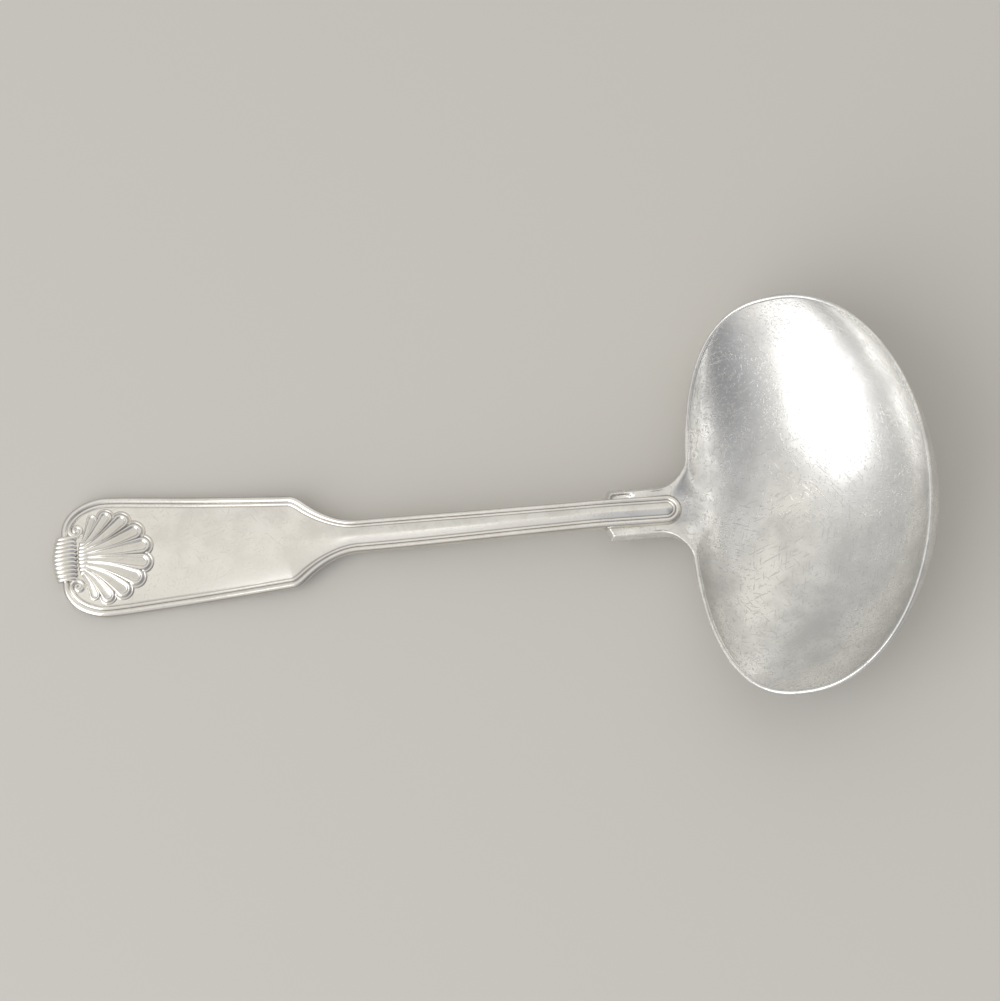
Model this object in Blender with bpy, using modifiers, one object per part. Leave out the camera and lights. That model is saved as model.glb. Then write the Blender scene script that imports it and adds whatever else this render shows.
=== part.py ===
"""A gravy ladle of the fiddle, thread and shell kind, as it lies on a table.

The raised bowl carries a neck plate with two square shoulders. The struck handle
laps over the plate, and a film of hard solder joins them.

Frame: metres, +Z up, the table at z = 0. +X runs from the handle to the bowl, and
the origin is the middle of the worn flat that the bowl rests on.
"""

import math

import bmesh
import bpy
from mathutils import Matrix, Vector

MM = 0.001

# Bowl: the lip is two half ovals that meet on the widest line
BOWL_WIDTH = 78.8 * MM
BOWL_FAR_REACH = 27.8 * MM
BOWL_NEAR_REACH = 21.2 * MM
BOWL_DEPTH = 18.0 * MM
BOWL_TILT = math.radians(24.0)
BOWL_WALL = 0.9 * MM
REST_FLAT_DEPTH = 0.15 * MM
FAR_LIP_POWER = 2.0
NEAR_LIP_POWER = 2.6
DEEPEST_AHEAD = 6.3 * MM
WALL_POWER = 2.2
FAR_WALL_ROOT = 0.35
NEAR_WALL_ROOT = 0.6
LIP_SEGMENTS = 72
WALL_RINGS = 14
HALVINGS = 40

# Neck plate, in one piece with the bowl
PLATE_LENGTH = 15.1 * MM
PLATE_WIDTH = 10.2 * MM
PLATE_THICKNESS = 1.6 * MM
PLATE_FILLET = 5.2 * MM
PLATE_BEVEL = 0.8 * MM
SHOULDER_SLANT = 1.1 * MM
PLATE_SLOPE = math.radians(5.0)
PLATE_FRONT_SHARE = 0.85
FILLET_SEGMENTS = 8

# Handle, in plan: distances along it are measured from its fiddle end
HANDLE_LENGTH = 123.0 * MM
FIDDLE_WIDTH = 24.0 * MM
FIDDLE_SHOULDER_WIDTH = 18.2 * MM
FIDDLE_LENGTH = 48.3 * MM
FIDDLE_END_ROUND = 9.4 * MM
FIDDLE_END_WIDTH = 11.0 * MM
FIDDLE_END_INSET = 2.0 * MM
COVE_LENGTH = 12.0 * MM
SHOULDER_ROUND = 1.2 * MM
STEM_ROOT_WIDTH = 6.3 * MM
STEM_WAIST_WIDTH = 5.4 * MM

# Handle, in side view
REST_LENGTH = 9.0 * MM
FIDDLE_THICKNESS = 2.0 * MM
STEM_THICKNESS = 3.4 * MM
TONGUE_THICKNESS = 1.6 * MM
TONGUE_GAP_TO_LIP = 1.4 * MM
EDGE_HEIGHT_SHARE = 0.55
UNDERSIDE_FLAT_SHARE = 0.72
UNDERSIDE_ROUND_SHARE = 0.22

# Sections along the handle
END_STATIONS = 8
FIDDLE_STATIONS = 12
COVE_STATIONS = 8
STEM_STATIONS = 20
TIP_STATIONS = 5
TIP_LAST_TURN = math.radians(75.0)

# Thread border and the convex panel between the threads
THREAD_PITCH = 0.85 * MM
THREAD_DEPTH = 0.28 * MM
THREAD_FLANK_SHARE = 0.3
NARROWEST_FULL_THREADS = 3.0 * THREAD_PITCH
PANEL_CROWN = 0.25 * MM
PANEL_QUARTER_RISE = 0.75

# Shell and reeded boss at the fiddle end
SHELL_LOBES = 10
SHELL_LENGTH = 14.4 * MM
SHELL_HALF_WIDTH = 8.0 * MM
SHELL_HEIGHT = 0.9 * MM
SHELL_START = 4.6 * MM
LOBE_ROOT_SHARE = 0.28
LOBE_FULLNESS = 1.05
BOSS_REEDS = 11
REED_FULLNESS = 1.2
BOSS_WIDTH = 8.9 * MM
BOSS_LENGTH = 5.0 * MM
BOSS_HEIGHT = 3.0 * MM
DROP_SEGMENTS = 12
DROP_RINGS = 6

# Solder seam
SOLDER_THICKNESS = 0.25 * MM
SOLDER_MARGIN = 0.4 * MM
JOINT_GAP = 0.25 * MM

# Edges sharper than this stay sharp when the faces are shaded smooth
SHARP_ANGLE = math.radians(35.0)


def superellipse(angle, power):
    """Return the unit superellipse's point at an angle from 0 to a quarter turn."""
    cosine = max(math.cos(angle), 0.0)
    sine = max(math.sin(angle), 0.0)
    return cosine ** (2.0 / power), sine ** (2.0 / power)


def lip_point(step):
    """Return one point of the lip, in the lip's own plane, from the bowl's middle."""
    turn = 2.0 * math.pi * step / LIP_SEGMENTS
    far = math.cos(turn) >= 0.0
    angle = math.atan2(abs(math.sin(turn)), abs(math.cos(turn)))
    along, across = superellipse(angle, FAR_LIP_POWER if far else NEAR_LIP_POWER)
    reach = BOWL_FAR_REACH if far else -BOWL_NEAR_REACH
    side = math.copysign(0.5 * BOWL_WIDTH, math.sin(turn))
    return reach * along, side * across


def wall_drop(scale, along, across):
    """Return the share of the depth at a share of the way from the deepest point to the lip.

    The far side rises steeply and the near side less so. The two ends, far across from the
    middle line, run up to the lip in a plain curve, so that the bowl pours.
    """
    end = (2.0 * across / BOWL_WIDTH) ** 2
    side_root = FAR_WALL_ROOT if along > 0.0 else NEAR_WALL_ROOT
    root = side_root * (1.0 - end) + end
    return (1.0 - scale ** WALL_POWER) ** root


def rest_share():
    """Return how far from its deepest point towards the neck the tilted bowl touches the table."""
    steepness = NEAR_WALL_ROOT * WALL_POWER * BOWL_DEPTH / (BOWL_NEAR_REACH + DEEPEST_AHEAD)
    low = 0.0
    high = 1.0
    for _ in range(HALVINGS):
        share = 0.5 * (low + high)
        left = 1.0 - share ** WALL_POWER
        slope = steepness * share ** (WALL_POWER - 1.0) * left ** (NEAR_WALL_ROOT - 1.0)
        if slope < math.tan(BOWL_TILT):
            low = share
        else:
            high = share
    return low


def bowl_middle():
    """Return where the middle of the lip plane is when the bowl rests on the table.

    The lowest point of the tilted bowl lies on its middle line, towards the neck.
    """
    share = rest_share()
    along = DEEPEST_AHEAD - share * (BOWL_NEAR_REACH + DEEPEST_AHEAD)
    depth = BOWL_DEPTH * wall_drop(share, -BOWL_NEAR_REACH, 0.0)
    foot_x = along * math.cos(BOWL_TILT) + depth * math.sin(BOWL_TILT)
    foot_z = along * math.sin(BOWL_TILT) - depth * math.cos(BOWL_TILT)
    return Vector((-foot_x, 0.0, -foot_z - REST_FLAT_DEPTH))


def bowl_point(along, across, depth):
    """Return a point given in the lip's plane and below it, in the frame of the ladle."""
    tilt_cos = math.cos(BOWL_TILT)
    tilt_sin = math.sin(BOWL_TILT)
    x = along * tilt_cos + depth * tilt_sin
    z = along * tilt_sin - depth * tilt_cos
    return bowl_middle() + Vector((x, across, z))


def neck_point():
    """Return the outer edge of the lip where the neck plate leaves it."""
    return bowl_point(-BOWL_NEAR_REACH, 0.0, 0.0)


def lip_recess(across):
    """Return how far the lip falls back from the neck at a distance to the side."""
    share = abs(across) / (0.5 * BOWL_WIDTH)
    along = (1.0 - share ** NEAR_LIP_POWER) ** (1.0 / NEAR_LIP_POWER)
    return BOWL_NEAR_REACH * (1.0 - along) * math.cos(BOWL_TILT)


def plate_top(x):
    """Return the height of the neck plate's upper face, which runs into the bowl's inside."""
    inner_lip = bowl_point(BOWL_WALL - BOWL_NEAR_REACH, 0.0, 0.0)
    return inner_lip.z + (x - inner_lip.x) * math.tan(PLATE_SLOPE)


def handle_end_x():
    """Return the place of the fiddle end, from which the handle is measured."""
    return neck_point().x - TONGUE_GAP_TO_LIP - HANDLE_LENGTH


def lap_gap():
    """Return the space between the plate and the tongue, which the solder fills."""
    return SOLDER_THICKNESS + 2.0 * JOINT_GAP


def lap_start():
    """Return where the tongue comes to lie over the plate, from the fiddle end."""
    return HANDLE_LENGTH + TONGUE_GAP_TO_LIP - PLATE_LENGTH - SHOULDER_SLANT


def ease(share):
    """Return a smooth step from 0 to 1."""
    share = min(max(share, 0.0), 1.0)
    return share * share * (3.0 - 2.0 * share)


def smooth_least(first, second, blend):
    """Return the lesser of two values, rounded off where they cross."""
    share = min(max(0.5 + 0.5 * (second - first) / blend, 0.0), 1.0)
    return second + (first - second) * share - blend * share * (1.0 - share)


def half_width(s):
    """Return half the handle's width at a distance from the fiddle end."""
    widest_at = FIDDLE_END_INSET + FIDDLE_END_ROUND
    cove_end = FIDDLE_LENGTH + COVE_LENGTH
    tip_radius = 0.5 * STEM_WAIST_WIDTH
    tip_centre = HANDLE_LENGTH - tip_radius
    if s < widest_at:
        end = 0.5 * FIDDLE_END_WIDTH
        share = (widest_at - s) / FIDDLE_END_ROUND
        return end + (0.5 * FIDDLE_WIDTH - end) * math.sqrt(max(1.0 - share * share, 0.0))
    if s < cove_end:
        share = (s - widest_at) / (FIDDLE_LENGTH - widest_at)
        taper = 0.5 * (FIDDLE_WIDTH + (FIDDLE_SHOULDER_WIDTH - FIDDLE_WIDTH) * share)
        rest = (cove_end - s) / COVE_LENGTH
        cove = 0.5 * (STEM_ROOT_WIDTH + (FIDDLE_SHOULDER_WIDTH - STEM_ROOT_WIDTH) * rest * rest)
        return smooth_least(taper, cove, SHOULDER_ROUND)
    if s < tip_centre:
        share = ease((s - cove_end) / (lap_start() - cove_end))
        return 0.5 * (STEM_ROOT_WIDTH + (STEM_WAIST_WIDTH - STEM_ROOT_WIDTH) * share)
    return math.sqrt(max(tip_radius ** 2 - (s - tip_centre) ** 2, 0.0))


def thickness(s):
    """Return the handle's thickness before its lap is cut, from the fiddle end."""
    cove_end = FIDDLE_LENGTH + COVE_LENGTH
    if s < cove_end:
        share = ease((s - 0.5 * FIDDLE_LENGTH) / (cove_end - 0.5 * FIDDLE_LENGTH))
        return FIDDLE_THICKNESS + (STEM_THICKNESS - FIDDLE_THICKNESS) * share
    neck = PLATE_THICKNESS + lap_gap() + TONGUE_THICKNESS
    share = ease((s - cove_end) / (lap_start() - cove_end))
    return STEM_THICKNESS + (neck - STEM_THICKNESS) * share


def underside(s):
    """Return the height of the handle's underside at a distance from the fiddle end.

    It lies flat on the table at the fiddle end, then rises in a curve that runs into
    the underside of the neck plate.
    """
    start = REST_LENGTH
    end = lap_start()
    end_height = plate_top(handle_end_x() + end) - PLATE_THICKNESS
    if s <= start:
        return 0.0
    if s >= end:
        return end_height + (s - end) * math.tan(PLATE_SLOPE)
    run = end - start
    t = (s - start) / run
    slope_term = (t ** 3 - t ** 2) * run * math.tan(PLATE_SLOPE)
    return ease(t) * end_height + slope_term


def panel_height(s):
    """Return the height of the panel between the threads, on the handle's middle line."""
    return underside(s) + thickness(s) - THREAD_DEPTH + PANEL_CROWN


def handle_section(s):
    """Return the handle's section, as points across and up, round from the right edge.

    The upper face has two threads along each edge with a groove inside each, and a
    low convex panel between them. The underside is flat with rounded edges.
    """
    half = half_width(s)
    low = underside(s)
    tall = thickness(s)
    top = low + tall
    groove = top - THREAD_DEPTH
    flank = 0.5 * THREAD_PITCH * min(1.0, half / NARROWEST_FULL_THREADS)
    panel = half - 4.0 * flank
    right = [
        (half, low + EDGE_HEIGHT_SHARE * tall),
        (half - THREAD_FLANK_SHARE * flank, groove),
        (half - flank, top),
        (half - 2.0 * flank, groove),
        (half - 3.0 * flank, top),
        (panel, groove),
        (0.5 * panel, groove + PANEL_QUARTER_RISE * PANEL_CROWN),
    ]
    below = [
        (0.5 * (1.0 + UNDERSIDE_FLAT_SHARE) * half, low + UNDERSIDE_ROUND_SHARE * tall),
        (UNDERSIDE_FLAT_SHARE * half, low),
    ]
    upper = right + [(0.0, panel_height(s))] + [(-y, z) for y, z in reversed(right)]
    lower = [(-y, z) for y, z in below] + [(0.0, low)] + below[::-1]
    return upper + lower


def handle_stations():
    """Return the places along the handle where its sections stand."""
    widest_at = FIDDLE_END_INSET + FIDDLE_END_ROUND
    cove_end = FIDDLE_LENGTH + COVE_LENGTH
    tip_radius = 0.5 * STEM_WAIST_WIDTH
    tip_centre = HANDLE_LENGTH - tip_radius
    stations = []
    for step in range(END_STATIONS):
        turn = 0.5 * math.pi * step / END_STATIONS
        stations.append(widest_at - FIDDLE_END_ROUND * math.cos(turn))
    for start, end, count in (
        (widest_at, FIDDLE_LENGTH, FIDDLE_STATIONS),
        (FIDDLE_LENGTH, cove_end, COVE_STATIONS),
        (cove_end, tip_centre, STEM_STATIONS),
    ):
        stations += [start + (end - start) * step / count for step in range(count)]
    for step in range(TIP_STATIONS + 1):
        stations.append(tip_centre + tip_radius * math.sin(TIP_LAST_TURN * step / TIP_STATIONS))
    return stations


def mesh_from(name, points, faces):
    """Return a mesh with its faces turned outward."""
    mesh = bpy.data.meshes.new(name)
    mesh.from_pydata(points, [], faces)
    shaped = bmesh.new()
    shaped.from_mesh(mesh)
    bmesh.ops.recalc_face_normals(shaped, faces=shaped.faces)
    shaped.to_mesh(mesh)
    shaped.free()
    return mesh


def metal(name, colour, roughness):
    """Return a plain metallic material."""
    material = bpy.data.materials.new(name)
    material.use_nodes = True
    shader = material.node_tree.nodes["Principled BSDF"]
    shader.inputs["Base Color"].default_value = (*colour, 1.0)
    shader.inputs["Metallic"].default_value = 1.0
    shader.inputs["Roughness"].default_value = roughness
    return material


def place(name, mesh, collection, material=None):
    """Return a new object that holds a mesh, shaded smooth up to sharp edges."""
    item = bpy.data.objects.new(name, mesh)
    collection.objects.link(item)
    mesh.shade_smooth()
    mesh.set_sharp_from_angle(angle=SHARP_ANGLE)
    if material:
        mesh.materials.append(material)
    return item


def hide_tool(item):
    """Mark an object as a tool that shapes another one."""
    item.hide_render = True
    item.display_type = "WIRE"


def boolean(target, name, operation, tool):
    """Add a Boolean modifier that takes one object or a whole collection."""
    modifier = target.modifiers.new(name, "BOOLEAN")
    modifier.operation = operation
    modifier.solver = "EXACT"
    if isinstance(tool, bpy.types.Collection):
        modifier.operand_type = "COLLECTION"
        modifier.collection = tool
    else:
        modifier.object = tool


def shoulder_root():
    """Return how far from the middle line the shoulders clear the stem."""
    return 0.5 * STEM_WAIST_WIDTH + JOINT_GAP


def make_plate(tools):
    """Return the neck plate, with its shoulders and the fillets that meet the lip."""
    neck = neck_point()
    half = 0.5 * PLATE_WIDTH
    flare = half + PLATE_FILLET
    reach = PLATE_FRONT_SHARE * BOWL_WALL * math.cos(BOWL_TILT)
    side = [(-PLATE_LENGTH - SHOULDER_SLANT, shoulder_root()), (-PLATE_LENGTH, half)]
    for step in range(FILLET_SEGMENTS + 1):
        angle = 0.5 * math.pi * step / FILLET_SEGMENTS
        y = half + PLATE_FILLET * (1.0 - math.cos(angle))
        side.append((PLATE_FILLET * (math.sin(angle) - 1.0) + lip_recess(y), y))
    front = []
    for step in range(FILLET_SEGMENTS + 1):
        y = flare * (1.0 - 2.0 * step / FILLET_SEGMENTS)
        front.append((lip_recess(y) + reach, y))
    outline = side + front + [(x, -y) for x, y in reversed(side)]
    points = []
    for level in (0.0, PLATE_THICKNESS):
        for x, y in outline:
            nearness = min(max(1.0 + x / PLATE_FILLET, 0.0), 1.0)
            edge = abs(y) > shoulder_root() and x < 0.0
            bevel = PLATE_BEVEL * (1.0 - nearness) if edge and level == 0.0 else 0.0
            place_x = neck.x + x + level * math.tan(BOWL_TILT) * nearness
            points.append((place_x, y - math.copysign(bevel, y), plate_top(place_x) - level))
    count = len(outline)
    faces = [tuple(range(count)), tuple(range(count, 2 * count))]
    for step in range(count):
        after = (step + 1) % count
        faces.append((step, after, count + after, count + step))
    plate = place("neck_plate_shape", mesh_from("neck_plate_shape", points, faces), tools)
    hide_tool(plate)
    return plate


def make_block(name, size, tools):
    """Return a cutting block whose upper face is centred on its origin."""
    shaped = bmesh.new()
    shape = Matrix.Translation((0.0, 0.0, -0.5 * size.z)) @ Matrix.Diagonal((*size, 1.0))
    bmesh.ops.create_cube(shaped, size=1.0, matrix=shape)
    mesh = bpy.data.meshes.new(name)
    shaped.to_mesh(mesh)
    shaped.free()
    block = place(name, mesh, tools)
    hide_tool(block)
    return block


def make_rest_cutter(tools):
    """Return the block below the table that leaves the worn flat on the bowl."""
    return make_block("rest_flat_cutter", Vector((1.0, 1.0, 1.0)) * 0.5 * BOWL_WIDTH, tools)


def make_lap_cutter(tools):
    """Return the block that halves the stem where it laps over the neck plate."""
    length = 2.0 * PLATE_LENGTH
    back = -PLATE_LENGTH - SHOULDER_SLANT - JOINT_GAP
    cutter = make_block("lap_cutter", Vector((length, PLATE_WIDTH, length)), tools)
    middle = neck_point().x + back + 0.5 * length * math.cos(PLATE_SLOPE)
    cutter.location = (middle, 0.0, plate_top(middle) + lap_gap())
    cutter.rotation_euler = (0.0, -PLATE_SLOPE, 0.0)
    return cutter


def make_bowl(parts, tools):
    """Make the bowl: an open surface made solid, joined to its neck plate."""
    points = []
    for ring in range(WALL_RINGS):
        scale = superellipse(0.5 * math.pi * ring / WALL_RINGS, WALL_POWER)[0]
        for step in range(LIP_SEGMENTS):
            along, across = lip_point(step)
            depth = BOWL_DEPTH * wall_drop(scale, along, across)
            ahead = DEEPEST_AHEAD + (along - DEEPEST_AHEAD) * scale
            points.append(bowl_point(ahead, across * scale, depth))
    points.append(bowl_point(DEEPEST_AHEAD, 0.0, BOWL_DEPTH))
    bottom = len(points) - 1
    faces = []
    for ring in range(WALL_RINGS - 1):
        for step in range(LIP_SEGMENTS):
            after = (step + 1) % LIP_SEGMENTS
            upper = ring * LIP_SEGMENTS
            lower = upper + LIP_SEGMENTS
            faces.append((upper + step, lower + step, lower + after, upper + after))
    last = (WALL_RINGS - 1) * LIP_SEGMENTS
    for step in range(LIP_SEGMENTS):
        faces.append((last + step, bottom, last + (step + 1) % LIP_SEGMENTS))
    mesh = mesh_from("bowl", points, faces)
    bowl = place("bowl", mesh, parts, metal("silver_raised_polished", (0.86, 0.85, 0.82), 0.22))
    shell = bowl.modifiers.new("wall", "SOLIDIFY")
    shell.thickness = BOWL_WALL
    shell.offset = -1.0
    boolean(bowl, "neck_plate", "UNION", make_plate(tools))
    boolean(bowl, "rest_flat", "DIFFERENCE", make_rest_cutter(tools))


def make_drop(name, centre, radii, turn, collection):
    """Make an ellipsoid, turned about the vertical, that stands for one rib."""
    shaped = bmesh.new()
    bmesh.ops.create_uvsphere(
        shaped, u_segments=DROP_SEGMENTS, v_segments=DROP_RINGS, radius=1.0
    )
    scale = Matrix.Diagonal((*radii, 1.0))
    bmesh.ops.transform(shaped, matrix=Matrix.Rotation(turn, 4, "Z") @ scale, verts=shaped.verts)
    mesh = bpy.data.meshes.new(name)
    shaped.to_mesh(mesh)
    shaped.free()
    drop = place(name, mesh, collection)
    drop.location = centre
    hide_tool(drop)


def make_shell(ornament):
    """Make the lobes of the shell, which fan out from the boss towards the stem."""
    spread = math.pi / SHELL_LOBES
    for lobe in range(SHELL_LOBES):
        angle = (lobe + 0.5) * spread - 0.5 * math.pi
        reach = 1.0 / math.hypot(math.cos(angle) / SHELL_LENGTH, math.sin(angle) / SHELL_HALF_WIDTH)
        distance = 0.5 * (1.0 + LOBE_ROOT_SHARE) * reach
        s = SHELL_START + distance * math.cos(angle)
        centre = (handle_end_x() + s, distance * math.sin(angle), panel_height(s))
        half_length = 0.5 * (1.0 - LOBE_ROOT_SHARE) * reach
        radii = (half_length, 0.5 * LOBE_FULLNESS * spread * distance, SHELL_HEIGHT)
        make_drop(f"shell_lobe_{lobe + 1}", centre, radii, angle, ornament)


def make_boss(ornament):
    """Make the reeds of the boss, side by side round the fiddle end."""
    pitch = BOSS_WIDTH / BOSS_REEDS
    height = 0.5 * BOSS_HEIGHT
    for reed in range(BOSS_REEDS):
        across = (reed + 0.5) * pitch - 0.5 * BOSS_WIDTH
        centre = (handle_end_x() + 0.5 * BOSS_LENGTH, across, height)
        radii = (0.5 * BOSS_LENGTH, 0.5 * REED_FULLNESS * pitch, height)
        make_drop(f"boss_reed_{reed + 1}", centre, radii, 0.0, ornament)


def make_handle(parts, tools, ornament):
    """Make the handle: sections lofted from the fiddle end to the tongue."""
    stations = handle_stations()
    points = []
    for s in stations:
        for across, up in handle_section(s):
            points.append((handle_end_x() + s, across, up))
    count = len(points) // len(stations)
    faces = [tuple(range(count)), tuple(range(len(points) - count, len(points)))]
    for station in range(len(stations) - 1):
        here = station * count
        for step in range(count):
            after = (step + 1) % count
            faces.append((here + step, here + after, here + count + after, here + count + step))
    mesh = mesh_from("handle", points, faces)
    handle = place("handle", mesh, parts, metal("silver_struck_polished", (0.84, 0.83, 0.80), 0.2))
    make_shell(ornament)
    make_boss(ornament)
    boolean(handle, "ornament", "UNION", ornament)
    boolean(handle, "lap", "DIFFERENCE", make_lap_cutter(tools))


def make_solder(parts):
    """Make the solder film between the tongue and the neck plate."""
    tip_radius = 0.5 * STEM_WAIST_WIDTH - SOLDER_MARGIN
    back = -PLATE_LENGTH - SHOULDER_SLANT + SOLDER_MARGIN
    front = -TONGUE_GAP_TO_LIP - SOLDER_MARGIN - tip_radius
    outline = [(back, tip_radius), (back, -tip_radius)]
    for step in range(FILLET_SEGMENTS + 1):
        angle = math.pi * step / FILLET_SEGMENTS - 0.5 * math.pi
        outline.append((front + tip_radius * math.cos(angle), tip_radius * math.sin(angle)))
    curve = bpy.data.curves.new("solder_seam", "CURVE")
    curve.dimensions = "2D"
    curve.fill_mode = "BOTH"
    curve.extrude = 0.5 * SOLDER_THICKNESS
    spline = curve.splines.new("POLY")
    spline.points.add(len(outline) - 1)
    spline.use_cyclic_u = True
    for point, (x, y) in zip(spline.points, outline):
        point.co = (x, y, 0.0, 1.0)
    curve.materials.append(metal("hard_solder", (0.70, 0.69, 0.66), 0.4))
    solder = bpy.data.objects.new("solder_seam", curve)
    parts.objects.link(solder)
    lift = 0.5 * lap_gap()
    neck = neck_point()
    solder.location = (neck.x, 0.0, plate_top(neck.x) + lift)
    solder.rotation_euler = (0.0, -PLATE_SLOPE, 0.0)


def new_collection(name):
    """Return a new collection in the scene."""
    collection = bpy.data.collections.new(name)
    bpy.context.scene.collection.children.link(collection)
    return collection


def main():
    """Build the ladle."""
    for item in list(bpy.data.objects):
        bpy.data.objects.remove(item, do_unlink=True)
    parts = new_collection("gravy_ladle")
    tools = new_collection("shaping_tools")
    ornament = new_collection("handle_ornament")
    make_bowl(parts, tools)
    make_handle(parts, tools, ornament)
    make_solder(parts)


main()
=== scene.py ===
"""Looks of a gravy ladle of the fiddle, thread and shell kind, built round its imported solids.

The raised bowl with its neck plate, the struck handle, the reeds at the handle's end and the
solder between handle and bowl are modelled in full, and stand for the plain solids. Sizes in the
classes are millimetres, in the frame of the solids: +X from handle to bowl, +Z up, table at 0.
Meshes are made in metres.
"""

import logging
import math
from dataclasses import dataclass, field
from enum import Enum

import bmesh
import bpy
import numpy as np
from mathutils import Matrix, Quaternion, Vector
from mathutils.kdtree import KDTree

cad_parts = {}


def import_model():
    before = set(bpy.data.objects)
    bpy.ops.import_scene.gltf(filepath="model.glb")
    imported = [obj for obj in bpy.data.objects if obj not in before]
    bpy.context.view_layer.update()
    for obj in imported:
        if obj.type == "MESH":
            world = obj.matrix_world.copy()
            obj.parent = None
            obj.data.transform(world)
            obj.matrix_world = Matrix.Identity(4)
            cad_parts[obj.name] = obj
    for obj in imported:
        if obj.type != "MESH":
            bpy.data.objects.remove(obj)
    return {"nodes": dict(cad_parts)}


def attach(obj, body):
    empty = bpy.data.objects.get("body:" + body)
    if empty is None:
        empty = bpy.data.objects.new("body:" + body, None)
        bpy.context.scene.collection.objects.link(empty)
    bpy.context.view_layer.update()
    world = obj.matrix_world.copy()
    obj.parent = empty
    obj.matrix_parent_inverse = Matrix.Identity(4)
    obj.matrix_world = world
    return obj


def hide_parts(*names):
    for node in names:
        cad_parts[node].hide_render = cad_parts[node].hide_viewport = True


LOG = logging.getLogger("gravy_ladle")
MM = 0.001
MERGE = 1e-8
# Attribute of how dark a point is in the recesses: partly tarnish, partly painted shade.
TARNISH = "tarnish"
THREAD_SIZE = "thread_size"
SCRATCH_TURNS = ((0.0, 0.1, 0.35), (0.3, 0.1, 1.3), (-0.2, 0.2, 2.2), (0.1, -0.3, 2.9))

Array = np.ndarray
Faces = list[tuple[int, ...]]
Socket = bpy.types.NodeSocket


class Node(Enum):
    """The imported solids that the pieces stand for."""

    BOWL = "bowl"
    HANDLE = "handle"
    SOLDER = "solder_seam"


class Slot(Enum):
    """The record's material slots."""

    BOWL = "bowl_silver"
    HANDLE = "handle_silver"
    SOLDER = "hard_solder"


def ease(share: Array | float) -> Array:
    """Return a smooth step that is flat at both ends.

    Args:
        share: Where between the two ends, clipped to 0 and 1.

    Returns:
        The step's height, from 0 to 1.
    """
    share = np.clip(share, 0.0, 1.0)
    return share * share * (3.0 - 2.0 * share)


def bead(offset: Array) -> Array:
    """Return the height, from 0 to 1, of a rounded bead at an offset of -1 to 1 from its middle."""
    return np.clip(1.0 - offset * offset, 0.0, None)


def least(first: Array, second: Array, soften: float) -> Array:
    """Return the lesser of two values, with the change from one to the other rounded off.

    Args:
        first: One value at each place.
        second: The other value.
        soften: How near the two have to be before the change starts.

    Returns:
        The softened lesser value.
    """
    share = np.clip(0.5 + 0.5 * (second - first) / soften, 0.0, 1.0)
    return second + (first - second) * share - soften * share * (1.0 - share)


def bezier(start: Array, corner: Array, end: Array, count: int) -> Array:
    """Return points of a curve that rounds off a corner.

    Args:
        start: Where each curve leaves its first line.
        corner: Where the two lines would meet.
        end: Where each curve joins its second line.
        count: Number of points on a curve, the last of which is the end.

    Returns:
        The points after the start, with an axis for the points of a curve before the last.
    """
    t = np.linspace(0.0, 1.0, count + 1)[1:, None]
    start, corner, end = (point[..., None, :] for point in (start, corner, end))
    return (1.0 - t) ** 2 * start + 2.0 * t * (1.0 - t) * corner + t * t * end


def straight(start: Array, end: Array, count: int) -> Array:
    """Return points on lines, after their starts and up to their ends, as bezier does."""
    return bezier(start, 0.5 * (start + end), end, count)


def grid_faces(rows: int, columns: int, wrap_rows: bool, wrap_columns: bool) -> Faces:
    """Return the four-sided faces of a grid of points that is stored row by row.

    Args:
        rows: Number of rows.
        columns: Number of points in a row.
        wrap_rows: Whether the last row joins the first.
        wrap_columns: Whether the last point of a row joins the first.

    Returns:
        The faces, as indices of points.
    """
    faces = []
    for row in range(rows if wrap_rows else rows - 1):
        here = row * columns
        there = (row + 1) % rows * columns
        for column in range(columns if wrap_columns else columns - 1):
            after = (column + 1) % columns
            faces.append((here + column, there + column, there + after, here + after))
    return faces


def tube_faces(rows: int, columns: int) -> Faces:
    """Return the faces of a tube of rings with closed ends, stored ring by ring."""
    faces = grid_faces(rows, columns, wrap_rows=False, wrap_columns=True)
    faces.append(tuple(range(columns)))
    faces.append(tuple(range((rows - 1) * columns, rows * columns)))
    return faces


def nearest(points: Array, line: Array) -> Array:
    """Return the distance from each point in plan to the nearest point of a line.

    Args:
        points: Points in plan, one in each row.
        line: Closely spaced points of the line.

    Returns:
        One distance for each point.
    """
    tree = KDTree(len(line))
    for index, (x, y) in enumerate(line):
        tree.insert((x, y, 0.0), index)
    tree.balance()
    return np.array([tree.find((x, y, 0.0))[2] for x, y in points])


def run_along(line: Array) -> Array:
    """Return how far along a line each of its points is."""
    return np.concatenate(((0.0,), np.cumsum(np.linalg.norm(np.diff(line, axis=0), axis=1))))


def headings(line: Array) -> Array:
    """Return the direction of a line at each of its points, as unit vectors."""
    ahead = np.gradient(line, axis=0)
    return ahead / np.linalg.norm(ahead, axis=1)[:, None]


def spaced(line: Array, step: float) -> Array:
    """Return points at even spacing along a line.

    Args:
        line: Points of the line, one in each row.
        step: The spacing, about.

    Returns:
        The new points, with the line's two ends among them.
    """
    run = run_along(line)
    places = np.linspace(0.0, run[-1], round(run[-1] / step) + 1)
    return np.column_stack([np.interp(places, run, axis) for axis in line.T])


def add_layer(mesh: bpy.types.Mesh, name: str, values: Array) -> None:
    """Give each point of a mesh a value, under a name."""
    layer = mesh.attributes.new(name, "FLOAT", "POINT")
    layer.data.foreach_set("value", values.ravel().astype(np.float32))


def close_up(mesh: bpy.types.Mesh) -> None:
    """Merge a mesh's coincident points, point its faces outwards and shade it smooth."""
    shaped = bmesh.new()
    shaped.from_mesh(mesh)
    bmesh.ops.remove_doubles(shaped, verts=shaped.verts, dist=MERGE)
    bmesh.ops.recalc_face_normals(shaped, faces=shaped.faces)
    shaped.to_mesh(mesh)
    shaped.free()
    mesh.shade_smooth()


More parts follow.
